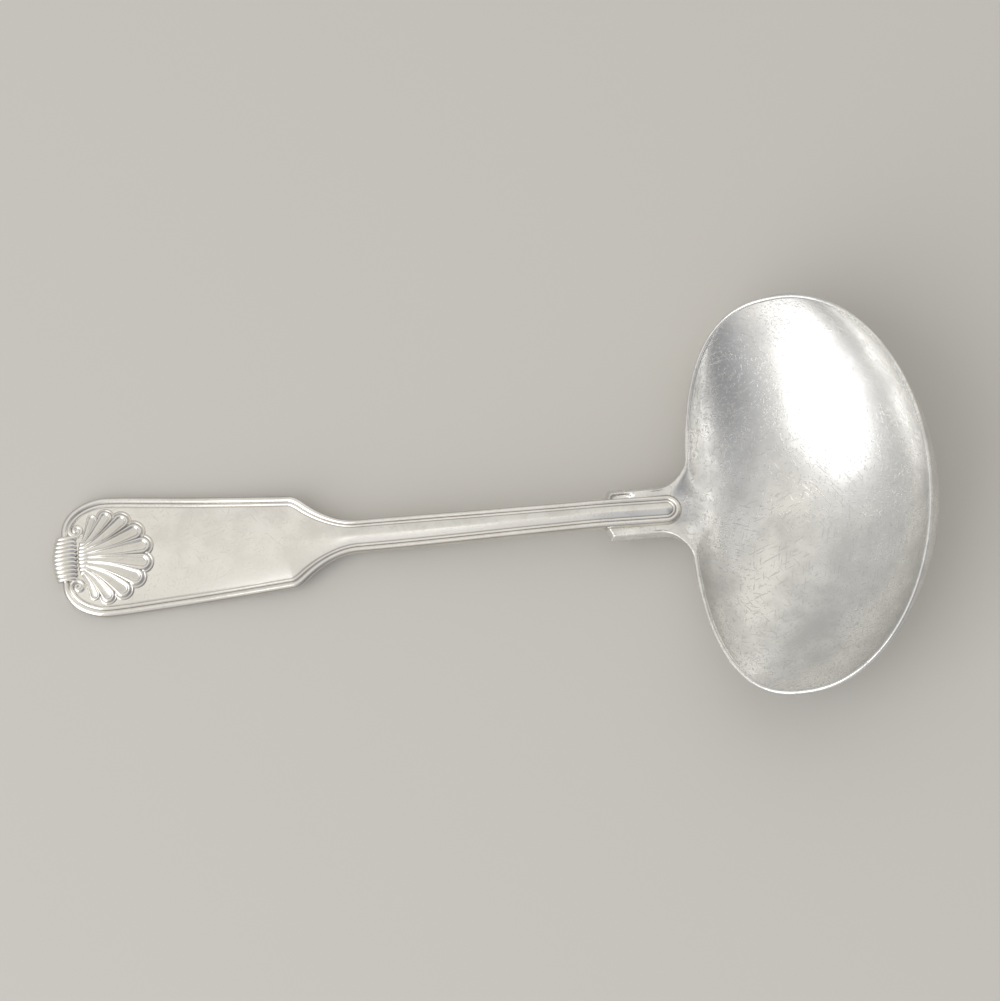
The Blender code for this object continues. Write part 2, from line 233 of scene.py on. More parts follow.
def add_object(name: str, data: bpy.types.ID) -> bpy.types.Object:
    """Return a new object of a mesh, lamp or camera, linked to the scene."""
    added = bpy.data.objects.new(name, data)
    bpy.context.scene.collection.objects.link(added)
    return added


def make_piece(name: str, points: Array, faces: Faces, film: Array | None = None) -> bpy.types.Object:
    """Make a smooth closed piece.

    Args:
        name: Name of the object and of its mesh.
        points: Points in millimetres, one in each row.
        faces: The faces, as indices of points.
        film: How much of the recess colour each point takes, partly tarnish and partly painted shade,
            from 0 to 1.

    Returns:
        The new object, linked to the scene.
    """
    mesh = bpy.data.meshes.new(name)
    mesh.from_pydata((points * MM).tolist(), [], faces)
    if film is not None:
        add_layer(mesh, TARNISH, film)
    close_up(mesh)
    return add_object(name, mesh)


def run_tree(
    blank: bpy.types.Object, name: str, tree: bpy.types.NodeTree, values: dict[str, object]
) -> bpy.types.Object:
    """Run a Geometry Nodes tree on a blank, and keep what it makes as a plain mesh.

    Args:
        blank: The object that the tree starts from, which is removed.
        name: Name of the new piece.
        tree: The tree.
        values: What its inputs take, by their names.

    Returns:
        The new piece.
    """
    modifier = blank.modifiers.new("tree", "NODES")
    modifier.node_group = tree
    for socket in tree.interface.items_tree:
        if socket.name in values:
            modifier[socket.identifier] = values[socket.name]
    shown = blank.evaluated_get(bpy.context.evaluated_depsgraph_get())
    mesh = bpy.data.meshes.new_from_object(shown)
    mesh.name = name
    bpy.data.objects.remove(blank, do_unlink=True)
    close_up(mesh)
    return add_object(name, mesh)


def settle(piece: bpy.types.Object, node: Node) -> None:
    """Fix a piece to the ladle's body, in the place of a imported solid.

    Args:
        piece: The finished piece.
        node: The solid that it stands for.
    """
    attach(piece, "root")
    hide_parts(node.value)
    LOG.info("%s stands for %s: %d faces", piece.name, node.value, len(piece.data.polygons))


def add_node(
    tree: bpy.types.NodeTree,
    kind: str,
    inputs: dict[str | int, object] | None = None,
    **settings: object,
) -> bpy.types.Node:
    """Add a node with its settings and links.

    Args:
        tree: The tree that gets the node.
        kind: The node's type name.
        inputs: What each input takes, by name or place: a value, or the output that feeds it.
        **settings: The node's own properties.

    Returns:
        The new node.
    """
    node = tree.nodes.new(kind)
    for name, value in settings.items():
        setattr(node, name, value)
    for key, value in (inputs or {}).items():
        if isinstance(value, Socket):
            tree.links.new(value, node.inputs[key])
        else:
            node.inputs[key].default_value = value
    return node


def calculate(tree: bpy.types.NodeTree, operation: str, *values: object, clamp: bool = False) -> Socket:
    """Add a sum to a tree.

    Args:
        tree: The tree that gets the sum.
        operation: What is done with the values.
        *values: The numbers, or the outputs that give them.
        clamp: Whether the result is kept between 0 and 1.

    Returns:
        The output with the result.
    """
    inputs = dict(enumerate(values))
    node = add_node(tree, "ShaderNodeMath", inputs, operation=operation, use_clamp=clamp)
    return node.outputs["Value"]


def start_tree(name: str, inputs: dict[str, str], result: str) -> bpy.types.NodeTree:
    """Return a new Geometry Nodes tree.

    Args:
        name: Name of the tree.
        inputs: The kind of each input, by its name.
        result: Name of the geometry that it gives.

    Returns:
        The tree, with nothing between its inputs and its result.
    """
    tree = bpy.data.node_groups.new(name, "GeometryNodeTree")
    for label, kind in inputs.items():
        tree.interface.new_socket(label, in_out="INPUT", socket_type=f"NodeSocket{kind}")
    tree.interface.new_socket(result, in_out="OUTPUT", socket_type="NodeSocketGeometry")
    return tree


def end_tree(tree: bpy.types.NodeTree, made: Socket, silver: Socket, result: str) -> None:
    """Make what a tree has made real, and dress it.

    Args:
        tree: The tree.
        made: The geometry that it has made.
        silver: The finish.
        result: Name of the geometry that it gives.
    """
    real = add_node(tree, "GeometryNodeRealizeInstances", {"Geometry": made}).outputs[0]
    dressed = add_node(tree, "GeometryNodeSetMaterial", {"Geometry": real, "Material": silver})
    add_node(tree, "NodeGroupOutput", {result: dressed.outputs[0]})


def linear(colour: str) -> tuple[float, float, float, float]:
    """Return the linear colour of an sRGB hex value.

    Args:
        colour: Six hex digits, with or without a leading hash sign.

    Returns:
        Red, green, blue and full opacity.
    """
    digits = colour.lstrip("#")
    channels = []
    for start in (0, 2, 4):
        value = int(digits[start : start + 2], 16) / 255.0
        channels.append(value / 12.92 if value <= 0.04045 else ((value + 0.055) / 1.055) ** 2.4)
    return (*channels, 1.0)


@dataclass(frozen=True)
class SilverFinish:
    """Silver that was polished and has been in use.

    Polished silver mirrors the room, with little colour of its own. Use leaves hair scratches
    that catch the light. A thin brown colour is painted in the recesses: partly tarnish, where no
    cloth reaches, and partly painted shade.

    Attributes:
        name: Name of the material.
        colour: The clean metal.
        worn_colour: The metal where many scratches dull it.
        tarnish_colour: The colour painted in the recesses, partly tarnish and partly painted shade.
        roughness: Roughness of the clean metal.
        worn_roughness: Roughness where it is dulled.
        scratch_length: Spacing of hair scratches along their run, in millimetres.
        scratch_width: Spacing across their run, in millimetres. A scratch fills about a third of
            it. Real ones are a hundredth of a millimetre wide, too fine to show, so these are coarser.
        scratch_depth: Height of the drawn scratches, in millimetres.
        scratch_level: Height of the noise above which its crests are scratches. A lower level
            gives more of them.
        grain_size: Size of the fine pits of a worn polish, in millimetres, drawn coarser than real.
        grain_share: Height of the pits beside that of the scratches.
        haze_size: Size of the patches where scratches crowd, in millimetres.
        haze_span: Heights of the noise between which the dull patches set in.
        haze_detail: Levels of detail in their outline.
        haze_breakup: How much the finer levels count.
        scratch_wear: How far a scratch dulls the metal, from 0 to 1.
        scratch_soft: How far above its level the noise is a full scratch.
        grain_detail: Levels of detail in the pits.
        drift_share: Scratch lengths in a metre, times this, is the scale of their drift.
        drift_reach: How far the drift bends a scratch, as a share of its length.
        lay_shift: How far each lay of scratches is moved from the one before.
    """

    name: str
    colour: str
    worn_colour: str
    tarnish_colour: str
    roughness: float
    worn_roughness: float
    scratch_length: float
    scratch_width: float
    scratch_depth: float
    scratch_level: float
    grain_size: float
    grain_share: float
    haze_size: float
    haze_span: tuple[float, float] = (0.36, 0.72)
    haze_detail: float = 5.0
    haze_breakup: float = 0.6
    scratch_wear: float = 0.7
    scratch_soft: float = 0.06
    grain_detail: float = 2.0
    drift_share: float = 0.4
    drift_reach: float = 0.5
    lay_shift: float = 0.1

    def material(self) -> bpy.types.Material:
        """Return the material."""
        material = bpy.data.materials.new(self.name)
        material.use_nodes = True
        tree = material.node_tree
        place = add_node(tree, "ShaderNodeTexCoord").outputs["Object"]
        haze = {
            "Vector": place,
            "Scale": 1.0 / (self.haze_size * MM),
            "Detail": self.haze_detail,
            "Roughness": self.haze_breakup,
        }
        patches = add_node(tree, "ShaderNodeTexNoise", haze).outputs["Fac"]
        low, high = self.haze_span
        dull = add_node(
            tree,
            "ShaderNodeMapRange",
            {"Value": patches, "From Min": low, "From Max": high},
            interpolation_type="SMOOTHSTEP",
        ).outputs["Result"]
        scratches = self._scratches(tree, place)
        wear = calculate(tree, "MULTIPLY_ADD", scratches, self.scratch_wear, dull, clamp=True)
        # Painted shade and tarnish: the recesses take the brown colour.
        recess = add_node(tree, "ShaderNodeAttribute", attribute_name=TARNISH).outputs["Fac"]
        colour: object = linear(self.colour)
        for share, other in ((wear, self.worn_colour), (recess, self.tarnish_colour)):
            mix = {0: share, 6: colour, 7: linear(other)}
            colour = add_node(tree, "ShaderNodeMix", mix, data_type="RGBA").outputs[2]
        rough = add_node(
            tree,
            "ShaderNodeMapRange",
            {"Value": wear, "To Min": self.roughness, "To Max": self.worn_roughness},
        ).outputs["Result"]
        grain = {"Vector": place, "Scale": 1.0 / (self.grain_size * MM), "Detail": self.grain_detail}
        pits = add_node(tree, "ShaderNodeTexNoise", grain).outputs["Fac"]
        depth = calculate(tree, "MULTIPLY_ADD", pits, self.grain_share, scratches)
        relief = {"Height": depth, "Distance": self.scratch_depth * MM}
        bump = add_node(tree, "ShaderNodeBump", relief, invert=True).outputs["Normal"]
        shader = tree.nodes["Principled BSDF"]
        shader.inputs["Metallic"].default_value = 1.0
        tree.links.new(colour, shader.inputs["Base Color"])
        tree.links.new(rough, shader.inputs["Roughness"])
        tree.links.new(bump, shader.inputs["Normal"])
        return material

    def _scratches(self, tree: bpy.types.NodeTree, place: Socket) -> Socket:
        """Add hair scratches in several lays, each the crests of a long drawn noise.

        Args:
            tree: The material's tree.
            place: The object coordinates.

        Returns:
            The output that is 1 in a scratch and 0 elsewhere.
        """
        length, width = self.scratch_length * MM, self.scratch_width * MM
        wander = {"Vector": place, "Scale": self.drift_share / length}
        drift = add_node(tree, "ShaderNodeTexNoise", wander).outputs["Color"]
        bent = add_node(
            tree,
            "ShaderNodeVectorMath",
            {0: drift, 1: [self.drift_reach * length] * 3, 2: place},
            operation="MULTIPLY_ADD",
        ).outputs["Vector"]
        size = (length, width, width)
        span = {"From Min": self.scratch_level, "From Max": self.scratch_level + self.scratch_soft}
        lays = []
        for number, turn in enumerate(SCRATCH_TURNS):
            shift = [self.lay_shift * number] * 3
            lay = {"Vector": bent, "Location": shift, "Rotation": turn, "Scale": size}
            laid = add_node(tree, "ShaderNodeMapping", lay, vector_type="TEXTURE").outputs["Vector"]
            noise = {"Vector": laid, "Scale": 1.0, "Detail": 1.0}
            crest = add_node(tree, "ShaderNodeTexNoise", noise).outputs["Fac"]
            lays.append(add_node(tree, "ShaderNodeMapRange", {"Value": crest, **span}).outputs["Result"])
        total = lays[0]
        for other in lays[1:]:
            total = calculate(tree, "MAXIMUM", total, other)
        return total


RAISED_SILVER = SilverFinish(
    name="silver_raised_satin_worn",
    colour="#F0EFEC",
    worn_colour="#D6D5D3",
    tarnish_colour="#A39A8E",
    roughness=0.25,
    worn_roughness=0.38,
    scratch_length=7.0,
    scratch_width=0.34,
    scratch_depth=0.02,
    scratch_level=0.655,
    grain_size=0.8,
    grain_share=0.25,
    haze_size=9.0,
)
STRUCK_SILVER = SilverFinish(
    name="silver_struck_polished",
    colour="#F3F1ED",
    worn_colour="#E4E1DC",
    tarnish_colour="#948A7E",
    roughness=0.13,
    worn_roughness=0.25,
    scratch_length=7.0,
    scratch_width=0.35,
    scratch_depth=0.0015,
    scratch_level=0.67,
    grain_size=1.5,
    grain_share=0.5,
    haze_size=8.0,
)
SOLDER_SILVER = SilverFinish(
    name="hard_solder_pickled",
    colour="#D8D3C8",
    worn_colour="#C4BEB2",
    tarnish_colour="#8A8174",
    roughness=0.34,
    worn_roughness=0.48,
    scratch_length=3.0,
    scratch_width=0.3,
    scratch_depth=0.003,
    scratch_level=0.66,
    grain_size=0.4,
    grain_share=0.6,
    haze_size=3.0,
)


@dataclass
class Bowl:
    """The raised bowl and the neck plate, which are one sheet of silver.

    Attributes:
        deepest_ahead: How far the deepest point lies from the lip's middle, away from the handle.
        wall_power: Power of the wall's curve. A higher one gives a flatter bottom.
        far_root: Root of the far wall's depth. A lower one gives a steeper wall at the lip.
        near_root: The same for the wall by the handle. At the bowl's two ends the root is 1.
        brink_run: How far over the neck plate the rounding into the bowl reaches.
        brink_depth: How far down the inner wall it reaches.
        scoop_share: Share of the neck's half width in which the rounding comes in.
        flare_share: Share of the plate's fillet in which the plate leaves the lip.
        bunching: How closely the lines over the plate crowd at its middle, where they end in the bowl.
        under_share: Where the plate's lower face meets the bowl, as a share of the plate's thickness.
        hollow_place: Where the hollow beside the stem has its middle, as a share of its length.
        hollow_fullness: How full the hollow is along its length.
    """

    width: float = 78.8
    far_reach: float = 27.8
    near_reach: float = 21.2
    depth: float = 18.0
    tilt: float = math.radians(24.0)
    wall: float = 0.9
    rest_flat: float = 0.15
    far_power: float = 2.0
    near_power: float = 2.6
    deepest_ahead: float = 6.3
    wall_power: float = 2.2
    far_root: float = 0.35
    near_root: float = 0.6
    plate_length: float = 15.1
    plate_width: float = 10.2
    plate_thickness: float = 1.6
    plate_fillet: float = 5.2
    plate_bevel: float = 0.8
    plate_slope: float = math.radians(5.0)
    shoulder_slant: float = 1.1
    shoulder_root: float = 2.95
    brink_run: float = 1.6
    brink_depth: float = 5.5
    scoop_share: float = 0.8
    flare_share: float = 0.55
    bunching: float = 1.7
    under_share: float = 0.9
    under_round: float = 2.2
    edge_round: float = 0.2
    hollow_length: float = 5.6
    hollow_width: float = 0.95
    hollow_depth: float = 0.5
    hollow_place: float = 0.42
    hollow_fullness: float = 1.6
    stem_clearance: float = 0.1
    rest_steps: int = 100001
    lip_stations: int = 170
    lip_fineness: int = 40
    wall_rings: int = 34
    fillet_steps: int = 18
    side_steps: int = 10
    end_steps: int = 10
    back_steps: int = 5
    round_steps: int = 9
    plate_steps: int = 26
    under_steps: int = 8
    edge_steps: int = 3
    flank_steps: int = 2

    def middle(self) -> Array:
        """Return the middle of the lip's plane when the bowl rests on the table."""
        reach = self.near_reach + self.deepest_ahead
        share = np.linspace(0.0, 1.0, self.rest_steps)
        along = self.deepest_ahead - share * reach
        depth = self.depth * (1.0 - share**self.wall_power) ** self.near_root
        heights = along * math.sin(self.tilt) - depth * math.cos(self.tilt)
        lowest = int(np.argmin(heights))
        foot = along[lowest] * math.cos(self.tilt) + depth[lowest] * math.sin(self.tilt)
        return np.array((-foot, 0.0, -heights[lowest] - self.rest_flat))

    def to_ladle(self, along: Array, across: Array, depth: Array) -> Array:
        """Return points in the ladle's frame.

        Args:
            along: Distances from the bowl's middle in the lip's plane, away from the handle.
            across: Distances to the side.
            depth: Distances below the lip's plane.

        Returns:
            The points, whose coordinates are the last axis.
        """
        middle = self.middle()
        x = middle[0] + along * math.cos(self.tilt) + depth * math.sin(self.tilt)
        z = middle[2] + along * math.sin(self.tilt) - depth * math.cos(self.tilt)
        return np.stack(np.broadcast_arrays(x, across, z), axis=-1)

    def neck_x(self) -> float:
        """Return where the outer edge of the lip is at the neck."""
        return float(self.to_ladle(-self.near_reach, 0.0, 0.0)[0])

    def plate_top(self, x: Array) -> Array:
        """Return the height of the neck plate's upper face, which passes through the inner lip."""
        inner = self.to_ladle(self.wall - self.near_reach, 0.0, 0.0)
        return inner[2] + (x - inner[0]) * math.tan(self.plate_slope)

    def lip_radius(self, angles: Array, inset: float) -> Array:
        """Return the lip's distance from the bowl's middle.

        Args:
            angles: Directions in the lip's plane, 0 away from the handle.
            inset: How far inside the outer edge.

        Returns:
            The distance in each direction.
        """
        cosine = np.cos(angles)
        far = cosine >= 0.0
        reach = np.where(far, self.far_reach, self.near_reach) - inset
        power = np.where(far, self.far_power, self.near_power)
        side = np.abs(np.sin(angles)) / (0.5 * self.width - inset)
        return (np.abs(cosine / reach) ** power + side**power) ** (-1.0 / power)

    def near_lip(self, across: Array) -> Array:
        """Return how far the near lip is from the bowl's middle, at distances to the side."""
        share = np.abs(across) / (0.5 * self.width)
        return self.near_reach * (1.0 - share**self.near_power) ** (1.0 / self.near_power)

    def wall_lines(self, angles: Array, inset: float, rim_depths: Array | float) -> Array:
        """Return lines down one wall, from near the lip to just above the bottom.

        Args:
            angles: Directions in the lip's plane.
            inset: 0 for the outer wall, the wall's thickness for the inner one.
            rim_depths: How far below the lip's plane each line starts.

        Returns:
            The points of each line.
        """
        lip = self.lip_radius(angles, inset)
        lip_depth = 0.5 * self.wall
        deep = self.depth - inset - lip_depth
        end = (lip * np.sin(angles) / (0.5 * self.width - inset)) ** 2
        root = np.where(np.cos(angles) > 0.0, self.far_root, self.near_root) * (1.0 - end) + end
        sunk = np.maximum(rim_depths - lip_depth, 0.0) / deep
        start = (1.0 - sunk ** (1.0 / root)) ** (1.0 / self.wall_power)
        bend = 2.0 / self.wall_power
        first = np.arccos(start ** (1.0 / bend))[:, None]
        share = np.linspace(0.0, 1.0, self.wall_rings + 1)[:-1]
        scale = np.cos(first + (0.5 * math.pi - first) * share) ** bend
        depth = lip_depth + deep * (1.0 - scale**self.wall_power) ** root[:, None]
        along = self.deepest_ahead + (lip * np.cos(angles) - self.deepest_ahead)[:, None] * scale
        return self.to_ladle(along, (lip * np.sin(angles))[:, None] * scale, depth)

    def lip_arcs(self, angles: Array, count: int) -> Array:
        """Return lines over the rounded lip, each with a count of points between the walls."""
        half = 0.5 * self.wall
        turn = math.pi * np.arange(1, count + 1) / (count + 1)
        radius = self.lip_radius(angles, 0.0)[:, None] - half - half * np.cos(turn)
        along = radius * np.cos(angles)[:, None]
        return self.to_ladle(along, radius * np.sin(angles)[:, None], half - half * np.sin(turn))

    def plate_outline(self, inset: float) -> Array:
        """Return half of the neck plate's outline in plan, from the lip to the middle of its back.

        Args:
            inset: How far inside the lower edge. It runs out to nothing towards the lip.

        Returns:
            The points, from the outer lip at the neck.
        """
        half = 0.5 * self.plate_width
        turn = np.linspace(0.5 * math.pi, 0.0, self.fillet_steps + 1)
        radius = self.plate_fillet + inset * (1.0 - np.sin(turn))
        across = half + self.plate_fillet - radius * np.cos(turn)
        recess = (self.near_reach - self.near_lip(across)) * math.cos(self.tilt)
        fillet = np.column_stack((radius * np.sin(turn) - self.plate_fillet + recess, across))
        side_in = np.array((0.0, -1.0))
        back_in = np.array((1.0, 0.0))
        slant = np.array((-self.shoulder_slant, self.shoulder_root - half))
        slant /= np.linalg.norm(slant)
        end_in = np.array((-slant[1], slant[0]))
        corner = np.array((-self.plate_length, half))
        corner = corner + inset * (side_in + end_in) / (1.0 + side_in @ end_in)
        root = np.array((-self.plate_length - self.shoulder_slant, self.shoulder_root))
        root = root + inset * (end_in + back_in) / (1.0 + end_in @ back_in)
        before = corner + self.edge_round * back_in
        after = corner + self.edge_round * slant
        return np.concatenate(
            (
                fillet,
                straight(fillet[-1], before, self.side_steps),
                bezier(before, corner, after, self.edge_steps),
                straight(after, root, self.end_steps),
                straight(root, root * (1.0, 0.0), self.back_steps),
            )
        )

    def plate_ring(self, inset: float, lower: bool) -> Array:
        """Return a line round the neck plate, without its ends on the lip.

        Args:
            inset: How far inside the lower edge.
            lower: Whether the line is on the plate's lower face, which follows the bowl's wall.

        Returns:
            The points.
        """
        half = self.plate_outline(inset)
        x, y = np.concatenate((half[1:], half[-2:0:-1] * (1.0, -1.0))).T
        drop = self.plate_thickness if lower else 0.0
        nearness = np.clip(1.0 + x / self.plate_fillet, 0.0, 1.0)
        x = x + self.neck_x() + drop * math.tan(self.tilt) * nearness
        return np.column_stack((x, y, self.plate_top(x) - drop))

    def hollow(self, points: Array) -> Array:
        """Return how deep the plate is beside the stem, on the side where no solder has run."""
        middle = self.neck_x() - self.plate_length + self.hollow_place * self.hollow_length
        along = (points[..., 0] - middle) / (0.5 * self.hollow_length)
        across = (points[..., 1] - self.shoulder_root - self.stem_clearance) / self.hollow_width
        return self.hollow_depth * ease(self.hollow_fullness * bead(along) - across * across)

    def brink(self, inner: Array) -> Array:
        """Return where the inner wall, carried on as steep as it starts, meets the plate's face."""
        climb = inner[:, 0] - inner[:, 1]
        rise = self.plate_top(inner[:, 0, 0]) - inner[:, 0, 2]
        rise /= climb[:, 2] - climb[:, 0] * math.tan(self.plate_slope)
        return inner[:, 0] + climb * rise[:, None]

    @staticmethod
    def part_way(start: Array, end: Array, run: float) -> Array:
        """Return points at a distance from the starts, but no further than half way to the ends."""
        whole = np.linalg.norm(end - start, axis=1)
        return start + (end - start) * np.minimum(run / whole, 0.5)[:, None]

    def neck_lines(self) -> Array:
        """Return lines from the inner bottom over the neck plate to the outer bottom."""
        half = self.plate_outline(0.0)
        steps = np.linalg.norm(np.diff(half, axis=0), axis=1)
        across = half[0, 1] * (1.0 - np.cumsum(steps) / steps.sum()) ** self.bunching
        share = ease(np.arange(1, len(half)) / (self.flare_share * self.fillet_steps))
        across = np.concatenate((across, -across[-2::-1]))
        share = np.concatenate((share, share[-2::-1]))
        angles = np.arctan2(across, -self.near_lip(across))
        fine = self.edge_round
        top, top_in, top_hold = (
            self.plate_ring(self.plate_bevel + inset, lower=False) for inset in (0.0, fine, 2.0 * fine)
        )
        low, low_in, low_hold = (
            self.plate_ring(inset, lower=True) for inset in (0.0, fine, 2.0 * fine)
        )
        scoop = ease((half[0, 1] - np.abs(across)) / (self.scoop_share * half[0, 1]))
        depth_in = 0.5 * self.wall * (1.0 - scoop) + self.brink_depth * scoop
        inner = self.wall_lines(angles, self.wall, depth_in)
        brink = self.brink(inner)
        join = self.part_way(brink, top_hold, self.brink_run)
        rim = self.lip_radius(angles, 0.0)
        under = self.under_share * self.plate_thickness
        corner = self.to_ladle(rim * np.cos(angles), rim * np.sin(angles), under)
        leave = self.part_way(corner, low_hold, self.under_round)
        depth_out = 0.5 * self.wall * (1.0 - share) + (under + self.under_round) * share
        outer = self.wall_lines(angles, 0.0, depth_out)
        side = low - top
        side *= fine / np.linalg.norm(side, axis=1)[:, None]
        face = straight(join, top_hold, self.plate_steps)
        face[..., 2] -= self.hollow(face)
        cap = np.concatenate(
            (
                bezier(inner[:, 0], brink, join, self.round_steps),
                face,
                top_in[:, None],
                bezier(top_in, top, top + side, self.edge_steps),
                straight(top + side, low - side, self.flank_steps),
                bezier(low - side, low, low_in, self.edge_steps),
                low_hold[:, None],
                straight(low_hold, leave, self.under_steps),
                bezier(leave, corner, outer[:, 0], self.round_steps)[:, :-1],
            ),
            axis=1,
        )
        share = share[:, None, None]
        cap = cap * share + self.lip_arcs(angles, cap.shape[1]) * (1.0 - share)
        return np.concatenate((inner[:, ::-1], cap, outer), axis=1)

    def lip_lines(self, columns: int) -> Array:
        """Return lines from the inner to the outer bottom over the free lip, evenly spaced.

        Args:
            columns: Number of points in a line.

        Returns:
            The points of each line.
        """
        half = 0.5 * self.wall
        across = self.plate_outline(0.0)[0, 1]
        flare = math.atan2(across, -self.near_lip(across))
        fine = np.linspace(-flare, flare, self.lip_fineness * self.lip_stations)
        lip = self.lip_radius(fine, 0.0)[:, None] * np.column_stack((np.cos(fine), np.sin(fine)))
        run = run_along(lip)
        angles = np.interp(np.linspace(0.0, run[-1], self.lip_stations), run, fine)
        inner = self.wall_lines(angles, self.wall, half)[:, ::-1]
        outer = self.wall_lines(angles, 0.0, half)
        arcs = self.lip_arcs(angles, columns - 2 * self.wall_rings)
        return np.concatenate((inner, arcs, outer), axis=1)

    def build(self) -> bpy.types.Object:
        """Return the bowl with its neck plate, dressed and settled."""
        neck = self.neck_lines()
        lines = np.concatenate((self.lip_lines(neck.shape[1]), neck))
        rows, columns = lines.shape[:2]
        poles = self.to_ladle(self.deepest_ahead, 0.0, np.array((self.depth - self.wall, self.depth)))
        points = np.concatenate((lines.reshape(-1, 3), poles))
        points[:, 2] = np.maximum(points[:, 2], 0.0)
        faces = grid_faces(rows, columns, wrap_rows=True, wrap_columns=False)
        for pole, column in ((rows * columns, 0), (rows * columns + 1, columns - 1)):
            for row in range(rows):
                after = (row + 1) % rows
                faces.append((pole, row * columns + column, after * columns + column))
        piece = make_piece("raised_bowl", points, faces)
        piece.data.materials.append(RAISED_SILVER.material())
        settle(piece, Node.BOWL)
        return piece


@dataclass
class Handle:
    """The struck handle: its body, and the crowned panel inside the border.

    Attributes:
        tongue_tip_rise: Height of the tongue's tip above the neck plate.
        tongue_sink_start: How far before the lap the tongue starts to sink.
        narrow_half: Half width at which the handle counts as stem.
        wide_half: Half width at which it counts as fiddle.
        panel_edge: Where the panel starts inside the outline, where threads have their full size.
        crown_fullness: How full the panel's crown is, on the stem and on the fiddle.
        end_cap: How far from the end the sections stand closest.
        lap_sharpness: Half the distance between the two sections at the step over the neck plate.
        film_inset: How far inside the outline the recess colour along the threads, partly tarnish and
            partly painted shade, stays full.
    """

    bowl: Bowl
    length: float = 123.0
    fiddle_width: float = 24.0
    fiddle_shoulder_width: float = 18.2
    fiddle_length: float = 48.3
    end_round: float = 9.4
    end_width: float = 11.0
    end_inset: float = 2.0
    cove_length: float = 12.0
    shoulder_round: float = 1.2
    end_soften: float = 0.35
    stem_root_width: float = 6.3
    stem_waist_width: float = 5.4
    rest_length: float = 9.0
    fiddle_thickness: float = 2.0
    stem_thickness: float = 3.4
    tongue_thickness: float = 1.6
    tongue_tip_rise: float = 1.05
    tongue_sink_start: float = 4.0
    tongue_gap: float = 1.4
    lap_gap: float = 0.75
    lap_clearance: float = 0.12
    tongue_foot: float = 0.3
    edge_height_share: float = 0.55
    flat_share: float = 0.72
    edge_inset: float = 0.08
    edge_inset_share: float = 0.1
    thread_rise: float = 0.30
    stem_thread_scale: float = 0.76
    narrow_half: float = 3.0
    wide_half: float = 9.0
    panel_edge: float = 1.6
    panel_soft: float = 0.36
    panel_step: float = 0.06
    fiddle_crown: float = 0.62
    stem_crown: float = 0.55
    crown_run: float = 9.0
    crown_fullness: tuple[float, float] = (1.3, 2.2)
    least_reach: float = 0.3
    outline_step: float = 0.05
    turn_steps: int = 400
    end_cap: float = 0.6
    end_cap_steps: int = 12
    end_cap_gap: float = 0.1
    end_step: float = 0.25
    fiddle_step: float = 0.8
    cove_lead: float = 3.0
    cove_step: float = 0.35
    stem_step: float = 1.0
    lap_lead: float = 0.2
    lap_sharpness: float = 0.01
    tongue_step: float = 0.3
    tip_steps: int = 18
    tip_last_turn: float = math.radians(86.0)
    border_share: float = 0.82
    field_columns: int = 44
    border_columns: int = 12
    under_turns: int = 7
    under_columns: int = 9
    # Painted shade and tarnish on the ground along the threads: how dark, how far in and how soft.
    edge_film: float = 0.6
    film_inset: float = 1.9
    film_run: float = 0.4
    outline: Array = field(init=False)

    def __post_init__(self) -> None:
        """Work out the outline in plan once, because the whole border follows it."""
        s = self.fine_stations()
        half = self.half_width(s)
        end = np.arange(0.0, half[0], self.outline_step)
        edge = np.column_stack((s, half))
        self.outline = np.concatenate((np.column_stack((np.full_like(end, s[0]), end)), edge))

    def end_x(self) -> float:
        """Return the place of the fiddle end, from which the handle is measured."""
        return self.bowl.neck_x() - self.tongue_gap - self.length

    def cove_end(self) -> float:
        """Return where the fiddle's coves have run out into the stem."""
        return self.fiddle_length + self.cove_length

    def lap_start(self) -> float:
        """Return where the tongue comes to lie over the neck plate."""
        plate = self.bowl.plate_length + self.bowl.shoulder_slant
        return self.length + self.tongue_gap - plate

    def fine_stations(self) -> Array:
        """Return closely spaced places along the handle, closest where the outline turns."""
        turn = np.linspace(0.0, 0.5 * math.pi, self.turn_steps)
        widest = self.end_inset + self.end_round
        tip = 0.5 * self.stem_waist_width
        start = widest - self.end_round * np.cos(turn)
        middle = np.arange(widest, self.length - tip, self.outline_step)
        finish = self.length - tip + tip * np.sin(turn)
        return np.unique(np.concatenate((start, middle, finish)))

    def half_width(self, s: Array) -> Array:
        """Return half the handle's width at distances from the fiddle end."""
        widest = self.end_inset + self.end_round
        end = 0.5 * self.end_width
        full = 0.5 * self.fiddle_width
        bend = np.clip((widest - s) / self.end_round, 0.0, 1.0)
        rounded = end + (full - end) * np.sqrt(1.0 - bend * bend)
        shoulder = 0.5 * self.fiddle_shoulder_width
        taper = full + (shoulder - full) * (s - widest) / (self.fiddle_length - widest)
        rest = np.clip((self.cove_end() - s) / self.cove_length, 0.0, None)
        root = 0.5 * self.stem_root_width
        cove = root + (shoulder - root) * rest * rest
        fiddle = least(least(rounded, taper, self.end_soften), cove, self.shoulder_round)
        tip = 0.5 * self.stem_waist_width
        stem_run = self.lap_start() - self.cove_end()
        stem = root + (tip - root) * ease((s - self.cove_end()) / stem_run)
        over = np.clip((s - self.length + tip) / tip, 0.0, 1.0)
        stem = np.where(over > 0.0, tip * np.sqrt(1.0 - over * over), stem)
        return np.where(s < self.cove_end(), fiddle, stem)

    def underside(self, s: Array) -> Array:
        """Return the height of the handle's underside before the lap is cut."""
        slope = math.tan(self.bowl.plate_slope)
        finish = self.lap_start()
        height = self.bowl.plate_top(self.end_x() + finish) - self.bowl.plate_thickness
        run = finish - self.rest_length
        t = np.clip((s - self.rest_length) / run, 0.0, 1.0)
        rise = ease(t) * height + (t**3 - t**2) * run * slope
        return rise + np.clip(s - finish, 0.0, None) * slope

